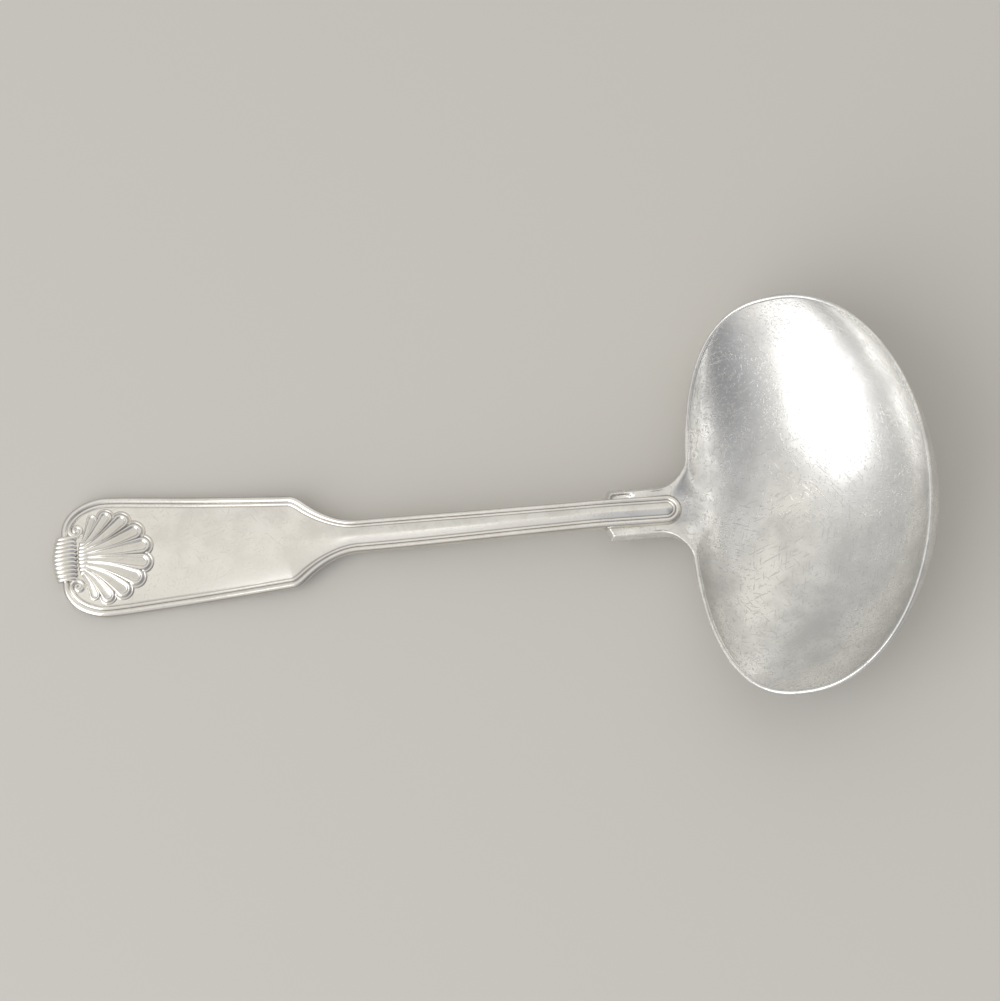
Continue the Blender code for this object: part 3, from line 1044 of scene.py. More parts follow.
    def top(self, s: Array) -> Array:
        """Return the height of the threads along the handle's upper face."""
        half_fiddle = 0.5 * self.fiddle_length
        grown = ease((s - half_fiddle) / (self.cove_end() - half_fiddle))
        thick = self.fiddle_thickness + (self.stem_thickness - self.fiddle_thickness) * grown
        lapped = self.lap_gap + self.tongue_thickness
        neck = self.bowl.plate_thickness + lapped - self.stem_thickness
        thick = thick + neck * ease((s - self.cove_end()) / (self.lap_start() - self.cove_end()))
        start = self.lap_start() - self.tongue_sink_start
        sink = (lapped - self.tongue_tip_rise) * ease((s - start) / (self.length - start))
        return self.underside(s) + thick - sink

    def foot(self, s: Array) -> Array:
        """Return the height of the underside, which steps up over the neck plate."""
        lapped = s > self.lap_start() - self.lap_clearance
        over_plate = self.bowl.plate_top(self.end_x() + s) + self.tongue_foot
        return np.where(lapped, over_plate, self.underside(s))

    def stations(self) -> Array:
        """Return the places along the handle where its sections stand."""
        widest = self.end_inset + self.end_round
        cap = np.linspace(0.0, math.acos(1.0 - self.end_cap / self.end_round), self.end_cap_steps)
        after_cap = self.end_inset + self.end_cap + self.end_cap_gap
        coves = self.fiddle_length - self.cove_lead
        step = self.lap_start() - self.lap_clearance
        tip = 0.5 * self.stem_waist_width
        parts = [
            widest - self.end_round * np.cos(cap),
            np.arange(after_cap, widest, self.end_step),
            np.arange(widest, coves, self.fiddle_step),
            np.arange(coves, self.cove_end(), self.cove_step),
            np.arange(self.cove_end(), step - self.lap_lead, self.stem_step),
            np.array((step - self.lap_sharpness, step + self.lap_sharpness)),
            np.arange(step + self.tongue_step, self.length - tip, self.tongue_step),
            self.length - tip + tip * np.sin(np.linspace(0.0, self.tip_last_turn, self.tip_steps)),
        ]
        return np.concatenate(parts)

    def columns(self) -> Array:
        """Return the shares of the half width at which the upper face has its points."""
        inner = np.linspace(0.0, self.border_share, self.field_columns, endpoint=False)
        half = np.concatenate((inner, np.linspace(self.border_share, 1.0, self.border_columns)))
        return np.concatenate((-half[:0:-1], half))

    def breadth(self, s: Array) -> Array:
        """Return how broad the handle is, 0 on the stem and 1 on the fiddle."""
        return ease((self.half_width(s) - self.narrow_half) / (self.wide_half - self.narrow_half))

    def thread_scale(self, s: Array) -> Array:
        """Return the size of the border's threads, which are finer on the stem."""
        return self.stem_thread_scale + (1.0 - self.stem_thread_scale) * self.breadth(s)

    def ground(self, s: Array) -> Array:
        """Return the height of the ground that the threads stand on."""
        return self.top(s) - self.thread_rise * self.thread_scale(s)

    def panel(self, s: Array, v: Array) -> tuple[Array, Array]:
        """Return the crowned panel, whose edge lies hidden under the inner thread.

        Args:
            s: Distances from the fiddle end.
            v: Distances from the middle line.

        Returns:
            The heights, and how far each place is inside the outline.
        """
        broad = self.breadth(s)
        scale = self.thread_scale(s)
        inset = nearest(np.column_stack((s, np.abs(v))), self.outline) / scale
        crown = self.stem_crown + (self.fiddle_crown - self.stem_crown) * broad
        crown = crown * ease((s - self.end_inset) / self.crown_run)
        reach = np.maximum(self.half_width(s) / scale - self.panel_edge, self.least_reach)
        share = np.clip((inset - self.panel_edge) / reach, 0.0, 1.0)
        rise = self.panel_step * ease((inset - self.panel_edge) / self.panel_soft)
        stem, fiddle = self.crown_fullness
        rise = rise + crown * (1.0 - (1.0 - share) ** (stem + (fiddle - stem) * broad))
        return self.ground(s) + rise, inset

    def sections(self) -> tuple[Array, Array]:
        """Return the handle's sections, and the tarnish and painted shade of each of their points."""
        s = self.stations()
        half = self.half_width(s)
        inner = half - np.minimum(self.edge_inset, self.edge_inset_share * half)
        across = inner[:, None] * self.columns()
        along = np.broadcast_to(s[:, None], across.shape)
        height, inset = self.panel(along.ravel(), across.ravel())
        # Painted shade and tarnish: darker on the ground along the threads.
        tarnish = self.edge_film * (1.0 - ease((inset - self.film_inset) / self.film_run))
        upper = np.stack((along, across, height.reshape(across.shape)), axis=-1)
        low = self.foot(s)
        tall = self.top(s) - low
        turn = np.linspace(0.0, 0.5 * math.pi, self.under_turns)
        reach = self.flat_share + (1.0 - self.flat_share) * np.cos(turn)
        drop = self.edge_height_share * (1.0 - np.sin(turn))
        flat = np.linspace(self.flat_share, -self.flat_share, self.under_columns)[1:-1]
        shares = np.concatenate((reach, flat, -reach[::-1]))
        drops = np.concatenate((drop, np.zeros_like(flat), drop[::-1]))
        below = (s[:, None], half[:, None] * shares, low[:, None] + tall[:, None] * drops)
        lower = np.stack(np.broadcast_arrays(*below), axis=-1)
        film = np.concatenate((tarnish.reshape(across.shape), np.zeros(lower.shape[:2])), axis=1)
        return np.concatenate((upper, lower), axis=1), film

    def build(self) -> bpy.types.Object:
        """Return the handle, dressed and settled."""
        sections, film = self.sections()
        rows, columns = sections.shape[:2]
        points = sections.reshape(-1, 3) + (self.end_x(), 0.0, 0.0)
        piece = make_piece("struck_handle", points, tube_faces(rows, columns), film)
        piece.data.materials.append(STRUCK_SILVER.material())
        settle(piece, Node.HANDLE)
        return piece


@dataclass(frozen=True)
class Thread:
    """One thread of the border.

    Attributes:
        name: Name of its piece.
        closed: Whether it closes round the fiddle end. An open one ends in scrolls.
        inset: How far inside the outline its middle runs, where threads have their full size.
        half: Half its width there.
        rise: How far it stands above the ground.
        sunk: How deep its middle lies below the ground.
    """

    name: str
    closed: bool
    inset: float
    half: float
    rise: float
    sunk: float


@dataclass
class ThreadBorder:
    """The border's two threads, laid along the handle's outline by Geometry Nodes.

    The outer thread runs round the whole handle. The inner one leaves the outline near the fiddle
    end, where both its ends curl up into scrolls.
    """

    handle: Handle
    outer: Thread = Thread("outer_thread", closed=True, inset=0.66, half=0.64, rise=0.30, sunk=0.25)
    inner: Thread = Thread("inner_thread", closed=False, inset=1.62, half=0.46, rise=0.26, sunk=0.26)
    fold_share: float = 0.985
    scroll_middle: tuple[float, float] = (4.95, 5.65)
    scroll_turns: float = 1.45
    scroll_eye: float = 0.12
    scroll_lift: float = 0.27
    scroll_field: tuple[float, float] = (1.2, 3.4)
    scroll_steps: int = 400
    bluntest: float = 0.97
    step: float = 0.2
    ring_steps: int = 20
    film: float = 0.75
    film_share: float = 0.5

    def inside(self, inset: float) -> Array:
        """Return half of a line inside the outline, from the middle of the end to the tongue's tip.

        Args:
            inset: How far inside, where the threads have their full size.

        Returns:
            The points in plan, without those where the line would fold over itself.
        """
        edge = self.handle.outline
        ahead = headings(edge)
        run = inset * self.handle.thread_scale(edge[:, 0])
        line = edge + np.column_stack((ahead[:, 1], -ahead[:, 0])) * run[:, None]
        return line[nearest(line, edge) > self.fold_share * run]

    def scroll(self, line: Array) -> Array:
        """Return the inner thread's half line, with its end curled up."""
        away = line - self.scroll_middle
        reach = np.linalg.norm(away, axis=1)
        leave = int(np.argmin(reach))
        start = math.atan2(away[leave, 1], away[leave, 0])
        turn = np.linspace(2.0 * math.pi * self.scroll_turns, 0.0, self.scroll_steps)
        radius = reach[leave] + (self.scroll_eye - reach[leave]) * turn / turn[0]
        angle = start + turn
        curl = self.scroll_middle + radius[:, None] * np.column_stack((np.cos(angle), np.sin(angle)))
        return np.concatenate((curl, line[leave + 1 :]))

    @staticmethod
    def tree() -> bpy.types.NodeTree:
        """Return the tree that lays a bead of oval section along a line of edges."""
        kinds = {"Line": "Geometry", "Half Width": "Float", "Half Height": "Float"}
        kinds |= {"Ring Steps": "Int", "Silver": "Material"}
        tree = start_tree("thread_along_line", kinds, "Thread")
        given = add_node(tree, "NodeGroupInput").outputs
        circle = {"Resolution": given["Ring Steps"], "Radius": 1.0}
        ring = add_node(tree, "GeometryNodeCurvePrimitiveCircle", circle).outputs["Curve"]
        halves = {"X": given["Half Width"], "Y": given["Half Height"], "Z": 1.0}
        size = add_node(tree, "ShaderNodeCombineXYZ", halves).outputs[0]
        oval = add_node(tree, "GeometryNodeTransform", {"Geometry": ring, "Scale": size}).outputs[0]
        curve = add_node(tree, "GeometryNodeMeshToCurve", {"Mesh": given["Line"]}).outputs[0]
        upright = add_node(tree, "GeometryNodeSetCurveNormal", {"Curve": curve}, mode="Z_UP").outputs[0]
        scale = add_node(tree, "GeometryNodeInputNamedAttribute", {"Name": THREAD_SIZE}).outputs[0]
        sweep = {"Curve": upright, "Profile Curve": oval, "Scale": scale, "Fill Caps": True}
        swept = add_node(tree, "GeometryNodeCurveToMesh", sweep).outputs[0]
        end_tree(tree, swept, given["Silver"], "Thread")
        return tree

    def sizes(self, thread: Thread, line: Array) -> Array:
        """Return the size of a thread along its line, which runs out round at an open end."""
        size = self.handle.thread_scale(line[:, 0])
        if thread.closed:
            return size
        place = np.arange(len(line))
        from_end = self.step * np.minimum(place, place[::-1])
        blunt = np.clip(1.0 - from_end / thread.half, 0.0, self.bluntest)
        return size * np.sqrt(1.0 - blunt * blunt)

    def heights(self, thread: Thread, line: Array) -> Array:
        """Return the heights of a thread's middle along its line, which lifts in a scroll."""
        s, v = line.T
        level = self.handle.ground(s) - thread.sunk * self.handle.thread_scale(s)
        if thread.closed:
            return level
        away = np.linalg.norm(np.column_stack((s, np.abs(v))) - self.scroll_middle, axis=1)
        near, far = self.scroll_field
        return level + self.scroll_lift * ease((far - away) / (far - near))

    def lay(
        self, thread: Thread, half: Array, tree: bpy.types.NodeTree, silver: bpy.types.Material
    ) -> bpy.types.Object:
        """Lay a thread.

        Args:
            thread: The thread.
            half: Its line on one side of the handle, in plan.
            tree: The tree that lays a bead along a line.
            silver: The finish.

        Returns:
            The thread, dressed and settled.
        """
        line = spaced(np.concatenate((half, half[-2::-1] * (1.0, -1.0))), self.step)
        if thread.closed:
            line = line[:-1]
        count = len(line)
        end_x = self.handle.end_x()
        points = np.column_stack((line + (end_x, 0.0), self.heights(thread, line))) * MM
        last = count if thread.closed else count - 1
        edges = [(place, (place + 1) % count) for place in range(last)]
        mesh = bpy.data.meshes.new(f"{thread.name}_line")
        mesh.from_pydata(points.tolist(), edges, [])
        add_layer(mesh, THREAD_SIZE, self.sizes(thread, line))
        values = {
            "Half Width": thread.half * MM,
            "Half Height": (thread.rise + thread.sunk) * MM,
            "Ring Steps": self.ring_steps,
            "Silver": silver,
        }
        piece = run_tree(add_object(mesh.name, mesh), thread.name, tree, values)
        place = np.empty(3 * len(piece.data.vertices), dtype=np.float32)
        piece.data.vertices.foreach_get("co", place)
        place = place.reshape(-1, 3).astype(float) / MM
        # Painted shade and tarnish: each thread is darker on its lower half, down to the ground.
        above = place[:, 2] - self.handle.ground(place[:, 0] - end_x)
        add_layer(piece.data, TARNISH, self.film * (1.0 - ease(above / (self.film_share * thread.rise))))
        settle(piece, Node.HANDLE)
        return piece

    def build(self, silver: bpy.types.Material) -> None:
        """Lay both threads in the handle's finish."""
        tree = self.tree()
        self.lay(self.outer, self.inside(self.outer.inset), tree, silver)
        self.lay(self.inner, self.scroll(self.inside(self.inner.inset)), tree, silver)


@dataclass
class Shell:
    """The shell struck in relief on the fiddle, a fan of fluted lobes with raised rims.

    Attributes:
        tips: How far the middle of each lobe's round tip is from the fiddle end and from the middle
            line, and half its width, from the middle lobe outwards.
    """

    handle: Handle
    root: float = 6.0
    root_pitch: float = 0.72
    tips: tuple[tuple[float, float, float], ...] = (
        (17.7, 1.65, 1.6),
        (16.2, 4.5, 1.6),
        (13.7, 6.75, 1.5),
        (10.7, 7.75, 1.3),
        (8.1, 7.55, 1.05),
    )
    widening: float = 1.25
    spring: tuple[float, float] = (0.42, 0.18)
    rim_at: float = 0.8
    rim_half: float = 0.22
    rim_swell: float = 0.3
    rim_rise: float = 0.34
    root_share: float = 0.3
    root_start: float = 0.06
    root_run: float = 0.3
    flute_rise: float = 0.10
    tip_start: float = 0.72
    halo_lobes: int = 4
    halo_at: float = 1.27
    halo_half: float = 0.17
    halo_rise: float = 0.13
    halo_margin: float = 1.1
    bare_spread: float = 0.06
    dome_middle: float = 11.0
    dome_length: float = 9.5
    dome_width: float = 9.6
    dome_rise: float = 0.6
    skirt: float = 0.3
    lobe_steps: int = 60
    tip_steps: int = 24
    flute_rings: int = 8
    rim_rings: int = 11
    halo_rings: int = 8
    # Painted shade and tarnish across a lobe: darker in the flute, at the rim's foot and between the
    # lobes.
    film: tuple[tuple[float, float], ...] = (
        (0.0, 0.2),
        (0.55, 0.12),
        (0.7, 0.0),
        (0.9, 0.0),
        (1.0, 0.6),
        (1.1, 0.5),
        (1.27, 0.1),
        (1.45, 0.5),
    )

    def lobe(self, start: Array, end: Array, tip_half: float) -> tuple[Array, Array, Array]:
        """Return the frame of a lobe, which leaves the root straight and bends outwards.

        Args:
            start: The middle of its root in plan.
            end: The middle of its round tip.
            tip_half: Half its width there.

        Returns:
            For each line from the lobe's middle out to its edge: where it starts, its run in plan,
            and how far along the lobe it is, from 0 to 1.
        """
        t = np.linspace(0.0, 1.0, self.lobe_steps + 1)
        corner = start + (end - start) * self.spring
        line = np.concatenate((start[None], bezier(start, corner, end, self.lobe_steps)))
        ahead = headings(line)
        root_half = 0.5 * self.root_pitch
        half = root_half + (tip_half - root_half) * t**self.widening
        aside = half[:, None] * np.column_stack((-ahead[:, 1], ahead[:, 0]))
        turn = np.linspace(0.5 * math.pi, -0.5 * math.pi, self.tip_steps + 2)[1:-1, None]
        cap = np.cos(turn) * half[-1] * ahead[-1] + np.sin(turn) * aside[-1]
        tip = np.repeat(line[-1:], self.tip_steps, axis=0)
        middle = np.concatenate((line, tip, line[::-1]))
        out = np.concatenate((aside, cap, -aside[::-1]))
        return middle, out, np.concatenate((t, np.ones(self.tip_steps), t[::-1]))

    def tip_share(self, along: Array) -> Array:
        """Return how far into its tip each place of a lobe is."""
        return ease((along - self.tip_start) / (1.0 - self.tip_start))

    def profile(self, share: Array, along: Array, halo: float) -> Array:
        """Return the height of a lobe above the shell's dome.

        Args:
            share: How far from the lobe's middle, with its edge at 1.
            along: How far along the lobe.
            halo: 1 where a fine line runs round outside the tip, 0 where there is none.

        Returns:
            The heights.
        """
        rooted = ease((along - self.root_start) / self.root_run)
        grown = self.root_share + (1.0 - self.root_share) * rooted
        tip = self.tip_share(along)
        rim = bead((share - self.rim_at) / (self.rim_half * (1.0 + self.rim_swell * tip)))
        flute = self.flute_rise * np.where(share < 1.0, share * share, 0.0)
        line = bead((share - self.halo_at) / self.halo_half) * self.halo_rise * halo * tip
        return np.maximum(np.maximum(rim * self.rim_rise, flute) * grown, line)

    def lobe_faces(self, first: int, rows: int, columns: int) -> Faces:
        """Return the faces of a lobe, closed below and at its root.

        Args:
            first: Index of the lobe's first point.
            rows: Number of lines from its middle to its edge.
            columns: Number of points in a line.

        Returns:
            The faces, as indices of points.
        """
        faces = grid_faces(rows, columns, wrap_rows=False, wrap_columns=False)
        low = columns - 1
        for row in range(rows // 2 - 1):
            other = rows - 1 - row
            corners = (row, row + 1, other - 1, other)
            faces.append(tuple(corner * columns + low for corner in corners))
        last = (rows - 1) * columns
        faces.append((*range(low, -1, -1), *range(last + 1, last + columns)))
        return [tuple(first + point for point in face) for face in faces]

    def shares(self) -> Array:
        """Return where the points of a line from a lobe's middle lie, with the lobe's edge at 1."""
        rim_foot = self.rim_at - self.rim_half
        rim_end = self.rim_at + self.rim_half
        halo_end = self.halo_at + self.halo_margin * self.halo_half
        return np.concatenate(
            (
                np.linspace(0.0, rim_foot, self.flute_rings),
                np.linspace(rim_foot, rim_end, self.rim_rings)[1:],
                np.linspace(rim_end, halo_end, self.halo_rings)[1:],
            )
        )

    def heights(self, s: Array, v: Array) -> Array:
        """Return the heights of the shell's dome at places on the panel."""
        base = self.handle.panel(s.ravel(), v.ravel())[0].reshape(s.shape)
        out_of_dome = ((s - self.dome_middle) / self.dome_length) ** 2 + (v / self.dome_width) ** 2
        return base + self.dome_rise * np.clip(1.0 - out_of_dome, 0.0, None)

    def build(self, silver: bpy.types.Material) -> bpy.types.Object:
        """Return the shell, dressed in the handle's finish and settled."""
        shares = self.shares()
        rim_end = self.rim_at + self.rim_half
        plans, rises, faces = [], [], []
        for index, (tip_s, tip_v, tip_half) in enumerate(self.tips):
            halo = 1.0 if index < self.halo_lobes else 0.0
            for side in (1.0, -1.0):
                start = np.array((self.root, side * (index + 0.5) * self.root_pitch))
                middle, out, along = self.lobe(start, np.array((tip_s, side * tip_v)), tip_half)
                along = along[:, None]
                spread = self.bare_spread + (1.0 - self.bare_spread) * halo * self.tip_share(along)
                reach = np.where(shares > rim_end, rim_end + (shares - rim_end) * spread, shares)
                plans.append(middle[:, None] + out[:, None] * reach[..., None])
                rises.append(self.profile(shares, along, halo))
                rows, columns = rises[-1].shape
                first = (len(rises) - 1) * rows * (columns + 1)
                faces.extend(self.lobe_faces(first, rows, columns + 1))
        plan = np.stack(plans)
        s, v = plan[..., 0], plan[..., 1]
        height = self.heights(s, v) + np.stack(rises)
        upper = np.stack((s + self.handle.end_x(), v, height), axis=-1)
        lower = upper[:, :, -1:].copy()
        lower[..., 2] = self.handle.ground(s[:, :, -1:]) - self.skirt
        points = np.concatenate((upper, lower), axis=2)
        film_at, film = np.array(self.film).T
        kept = np.interp(np.append(shares, shares[-1]), film_at, film)
        kept = np.broadcast_to(kept, points.shape[:3])
        piece = make_piece("shell_lobes", points.reshape(-1, 3), faces, kept)
        piece.data.materials.append(silver)
        settle(piece, Node.HANDLE)
        return piece


@dataclass
class ReedRow:
    """A row of reeds across the fiddle end, made from one reed by Geometry Nodes."""

    handle: Handle
    name: str
    reeds: int
    width: float
    front: float
    length: float
    middle_height: float
    rise: float
    reed_depth: float
    core_depth: float
    first_turn: float
    last_turn: float
    end_bulge: float
    side_fall: float
    squareness: float = 2.6
    overlap: float = 1.12
    end_share: float = 0.98
    end_power: int = 6
    path_steps: int = 36
    ring_steps: int = 12

    def reed(self) -> tuple[Array, Faces]:
        """Return the points and faces of the reed in the middle, from its front end at the origin."""
        pitch = self.width / self.reeds
        turn = np.radians(np.linspace(self.first_turn, self.last_turn, self.path_steps))
        reach = 0.5 * self.length - self.reed_depth
        middle = np.array((-0.5 * self.length, self.middle_height))
        out = np.column_stack((np.cos(turn), np.sin(turn)))
        path = middle + np.sign(out) * np.abs(out) ** (2.0 / self.squareness) * (reach, self.rise)
        place = np.linspace(-self.end_share, self.end_share, self.path_steps)
        ends = np.sqrt(np.clip(1.0 - place**self.end_power, 0.0, 1.0))
        ring = 2.0 * math.pi * np.arange(self.ring_steps) / self.ring_steps
        depth = np.where(np.cos(ring) > 0.0, self.reed_depth, self.core_depth)
        lift = depth * ends[:, None] * np.cos(ring)
        side = 0.5 * self.overlap * pitch * ends[:, None] * np.sin(ring)
        along = path[:, :1] + out[:, :1] * lift
        height = path[:, 1:] + out[:, 1:] * lift
        points = np.stack((along, side, height), axis=-1)
        return points.reshape(-1, 3), tube_faces(self.path_steps, self.ring_steps)

    @staticmethod
    def tree() -> bpy.types.NodeTree:
        """Return the tree that sets copies of a reed in a row and bows the row's outline."""
        kinds = {"Reed": "Geometry", "Count": "Int", "Pitch": "Float", "End Bulge": "Float"}
        kinds |= {"Side Fall": "Float", "Place": "Vector", "Silver": "Material"}
        tree = start_tree("reed_row", kinds, "Row")
        given = add_node(tree, "NodeGroupInput").outputs
        half = calculate(tree, "MULTIPLY", calculate(tree, "SUBTRACT", given["Count"], 1.0), 0.5)
        place = add_node(tree, "GeometryNodeInputIndex").outputs[0]
        step = calculate(tree, "SUBTRACT", place, half)
        share = calculate(tree, "DIVIDE", step, half)
        square = calculate(tree, "MULTIPLY", share, share)
        across = calculate(tree, "MULTIPLY", step, given["Pitch"])
        line = add_node(tree, "GeometryNodeMeshLine", {"Count": given["Count"]}).outputs[0]
        spot = add_node(tree, "ShaderNodeCombineXYZ", {"Y": across}).outputs[0]
        offsets = {0: spot, 1: given["Place"]}
        moved = add_node(tree, "ShaderNodeVectorMath", offsets, operation="ADD").outputs[0]
        spread = {"Geometry": line, "Position": moved}
        row = add_node(tree, "GeometryNodeSetPosition", spread).outputs[0]
        scales: dict[str | int, object] = {"Y": 1.0}
        for axis, name in (("X", "End Bulge"), ("Z", "Side Fall")):
            loss = calculate(tree, "MULTIPLY", square, given[name])
            scales[axis] = calculate(tree, "SUBTRACT", 1.0, loss)
        size = add_node(tree, "ShaderNodeCombineXYZ", scales).outputs[0]
        copying = {"Points": row, "Instance": given["Reed"], "Scale": size}
        copies = add_node(tree, "GeometryNodeInstanceOnPoints", copying).outputs[0]
        end_tree(tree, copies, given["Silver"], "Row")
        return tree

    def build(self, tree: bpy.types.NodeTree, silver: bpy.types.Material) -> bpy.types.Object:
        """Make the row.

        Args:
            tree: The tree that repeats the reed.
            silver: The finish of the reeds.

        Returns:
            The row as a plain mesh, dressed and settled.
        """
        points, faces = self.reed()
        blank = make_piece(f"{self.name}_blank", points, faces)
        values = {
            "Count": self.reeds,
            "Pitch": self.width / self.reeds * MM,
            "End Bulge": self.end_bulge,
            "Side Fall": self.side_fall,
            "Place": Vector((self.handle.end_x() + self.front, 0.0, 0.0)) * MM,
            "Silver": silver,
        }
        piece = run_tree(blank, self.name, tree, values)
        settle(piece, Node.HANDLE)
        return piece


@dataclass
class SolderSeam:
    """The hard solder that fills the lap and shows as a thin fillet round the tongue.

    Attributes:
        fillet_rings: How far out each ring of the fillet lies, as a share of its width, and how far
            above the plate.
    """

    handle: Handle
    fillet: float = 0.28
    fillet_rings: tuple[tuple[float, float], ...] = ((1.0, -0.05), (1.0, 0.02), (0.3, 0.12))
    core_inset: float = 0.1
    core_rise: float = 0.45
    back_gap: float = 0.3
    back_share: float = 0.3
    steps: int = 40
    side_steps: int = 12

    def ring(self, spread: float, lift: float) -> Array:
        """Return a line round the tongue at a distance from its outline and above the plate."""
        handle = self.handle
        tip = 0.5 * handle.stem_waist_width
        back = handle.lap_start() + self.back_gap
        turn = np.linspace(-0.5 * math.pi, 0.5 * math.pi, self.steps)
        nose = (tip + spread) * np.column_stack((np.cos(turn), np.sin(turn)))
        nose[:, 0] += handle.length - tip
        corner = np.array((back, tip + self.back_share * spread))
        side = straight(nose[-1], corner, self.side_steps)
        plan = np.concatenate((nose, side, side[::-1] * (1.0, -1.0)))
        x = plan[:, 0] + handle.end_x()
        return np.column_stack((x, plan[:, 1], handle.bowl.plate_top(x) + lift))

    def build(self) -> bpy.types.Object:
        """Return the seam, dressed and settled."""
        rings = [self.ring(share * self.fillet, lift) for share, lift in self.fillet_rings]
        rings.append(self.ring(-self.core_inset, self.core_rise))
        piece = make_piece("solder_fillet", np.concatenate(rings), tube_faces(len(rings), len(rings[0])))
        piece.data.materials.append(SOLDER_SILVER.material())
        settle(piece, Node.SOLDER)
        return piece


@dataclass
class Softbox:
    """A soft studio lamp that faces the bowl, at the origin.

    Attributes:
        name: Name of the lamp.
        place: Where it hangs, in metres.
        width: Its width, in metres.
        height: Its height, in metres.
        power: Its power in watts.
        colour: Its colour.
        roll: How far it is turned about its aim.
    """

    name: str
    place: tuple[float, float, float]
    width: float
    height: float
    power: float
    colour: str
    roll: float = 0.0

    def build(self) -> None:
        """Hang the lamp."""
        lamp = bpy.data.lights.new(self.name, "AREA")
        lamp.shape = "RECTANGLE"
        lamp.size = self.width
        lamp.size_y = self.height
        lamp.energy = self.power
        lamp.color = linear(self.colour)[:3]
        holder = add_object(self.name, lamp)
        holder.location = self.place
        turned = (-Vector(self.place)).to_track_quat("-Z", "Y") @ Quaternion((0.0, 0.0, 1.0), self.roll)
        holder.rotation_euler = turned.to_euler()


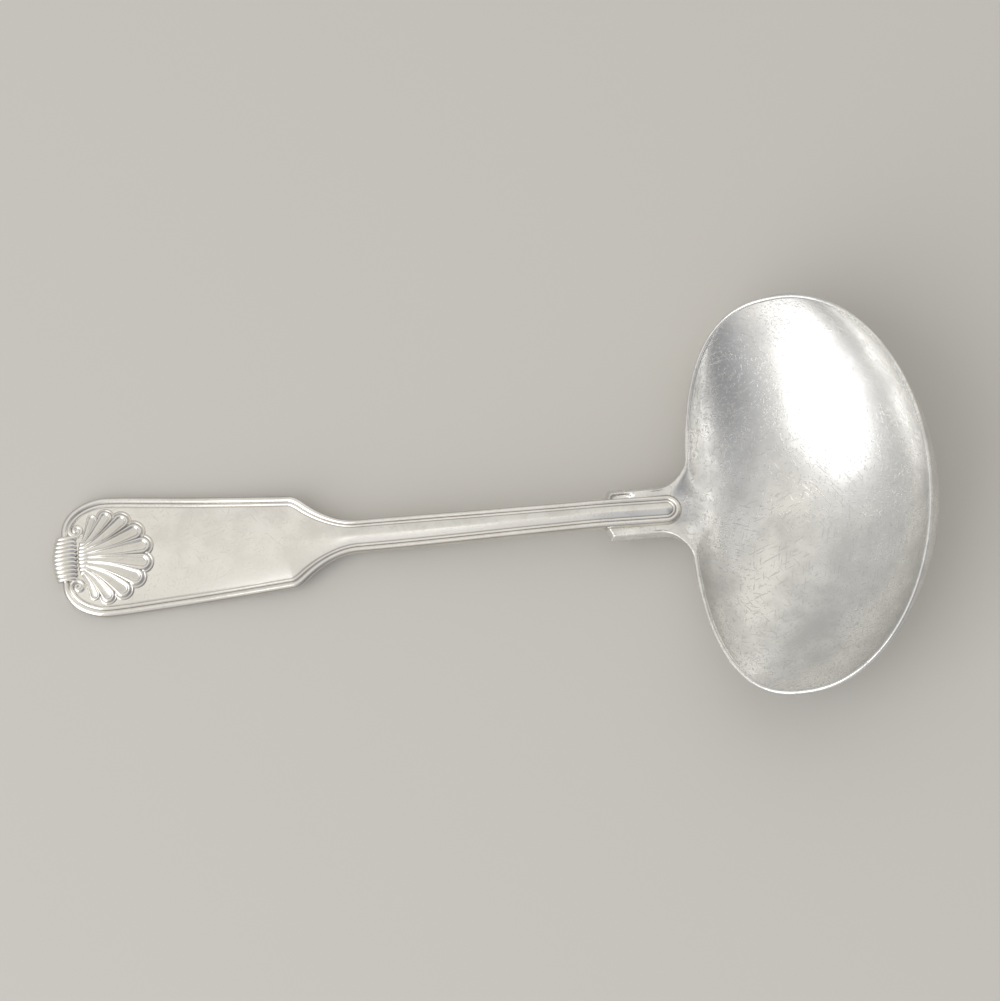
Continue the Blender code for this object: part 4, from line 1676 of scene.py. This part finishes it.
@dataclass
class Studio:
    """A pale table top, soft lamps, a plain room and the camera.

    Attributes:
        dim_side: The direction of the room's dim side.
        room_colours: The room's colours, by how far they look towards that side, from -1 to 1.
    """

    floor_colour: str = "#CFCCC6"
    floor_size: float = 3.0
    floor_drop: float = 0.04
    floor_roughness: float = 0.7
    dim_side: tuple[float, float, float] = (0.646, -0.504, 0.574)
    room_colours: tuple[tuple[float, str], ...] = (
        (-0.7, "#C4C4C3"),
        (-0.4, "#C8C7C5"),
        (-0.1, "#E0DFDB"),
        (0.3, "#F0EDE6"),
        (0.5, "#EBE8E1"),
        (0.65, "#DBDAD8"),
        (0.8, "#C4C5C8"),
        (0.9, "#AAABAE"),
        (1.0, "#929397"),
    )
    eye: tuple[float, float, float] = (-0.06463, -0.13852, 0.58218)
    target: tuple[float, float, float] = (-0.0542, 0.00626, 0.0)
    view_angle: float = math.radians(18.675)
    nearest_seen: float = 0.01
    picture_up: tuple[float, float, float] = (0.0697, 0.9678, 0.2419)
    lamps: tuple[Softbox, ...] = (
        Softbox(
            name="window_softbox",
            place=(-0.709, -0.489, 0.685),
            width=0.72,
            height=1.27,
            power=4.9,
            colour="#F8FAFF",
            roll=math.radians(30.0),
        ),
        Softbox(
            name="low_window_softbox",
            place=(-0.7, -0.84, 0.14),
            width=0.6,
            height=0.26,
            power=0.8,
            colour="#F8FAFF",
        ),
    )

    def floor(self) -> None:
        """Lay the table top, which takes the ladle's shadow."""
        mesh = bpy.data.meshes.new("table_top")
        half = 0.5 * self.floor_size
        low = -self.floor_drop * MM
        corners = [(-half, -half, low), (half, -half, low), (half, half, low), (-half, half, low)]
        mesh.from_pydata(corners, [], [(0, 1, 2, 3)])
        material = bpy.data.materials.new("paper_matt")
        material.use_nodes = True
        shader = material.node_tree.nodes["Principled BSDF"]
        shader.inputs["Base Color"].default_value = linear(self.floor_colour)
        shader.inputs["Roughness"].default_value = self.floor_roughness
        mesh.materials.append(material)
        add_object("table_top", mesh)

    def room(self) -> None:
        """Make the room, which is dimmer on one side."""
        world = bpy.data.worlds.new("room")
        bpy.context.scene.world = world
        world.use_nodes = True
        tree = world.node_tree
        aim = add_node(tree, "ShaderNodeTexCoord").outputs["Generated"]
        sides = {0: aim, 1: self.dim_side}
        dim = add_node(tree, "ShaderNodeVectorMath", sides, operation="DOT_PRODUCT").outputs["Value"]
        span = {"Value": dim, "From Min": -1.0, "From Max": 1.0}
        share = add_node(tree, "ShaderNodeMapRange", span).outputs["Result"]
        ramp = add_node(tree, "ShaderNodeValToRGB", {"Fac": share})
        stops = ramp.color_ramp.elements
        while len(stops) < len(self.room_colours):
            stops.new(1.0)
        for stop, (place, colour) in zip(stops, self.room_colours):
            stop.position = 0.5 + 0.5 * place
            stop.color = linear(colour)
        tree.links.new(ramp.outputs["Color"], tree.nodes["Background"].inputs["Color"])

    def camera(self) -> None:
        """Set the camera where the photograph was taken from."""
        lens = bpy.data.cameras.new("camera")
        lens.sensor_fit = "HORIZONTAL"
        lens.angle = self.view_angle
        lens.clip_start = self.nearest_seen
        holder = add_object("camera", lens)
        forward = (Vector(self.target) - Vector(self.eye)).normalized()
        right = forward.cross(Vector(self.picture_up)).normalized()
        up = right.cross(forward)
        turned = Matrix((right, up, -forward)).transposed().to_4x4()
        holder.matrix_world = Matrix.Translation(self.eye) @ turned
        bpy.context.scene.camera = holder

    def build(self) -> None:
        """Set up the whole studio."""
        self.floor()
        self.room()
        for lamp in self.lamps:
            lamp.build()
        self.camera()
        bpy.context.scene.view_settings.view_transform = "Standard"


def main() -> None:
    """Build the ladle's pieces and the studio."""
    logging.basicConfig(level=logging.INFO, format="%(name)s: %(message)s")
    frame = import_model()
    LOG.info("frame: %d packed solids", len(frame["nodes"]))
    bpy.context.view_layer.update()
    studio = Studio()
    studio.build()
    bowl = Bowl()
    handle = Handle(bowl)
    bowl.build()
    struck = handle.build()
    silver = struck.data.materials[0]
    ThreadBorder(handle).build(silver)
    shell = Shell(handle)
    shell.build(silver)
    tree = ReedRow.tree()
    boss = ReedRow(
        handle,
        "boss_reeds",
        reeds=11,
        width=8.9,
        front=5.15,
        length=5.15,
        middle_height=1.6,
        rise=1.25,
        reed_depth=0.36,
        core_depth=1.1,
        first_turn=12.0,
        last_turn=235.0,
        end_bulge=0.14,
        side_fall=0.12,
    )
    boss.build(tree, silver)
    flange = ReedRow(
        handle,
        "flange_reeds",
        reeds=9,
        width=9.0 * shell.root_pitch,
        front=8.4,
        length=3.5,
        middle_height=1.9,
        rise=0.45,
        reed_depth=0.27,
        core_depth=0.27,
        first_turn=0.0,
        last_turn=175.0,
        end_bulge=0.1,
        side_fall=0.1,
    )
    flange.build(tree, silver)
    SolderSeam(handle).build()


if __name__ == "__main__":
    main()
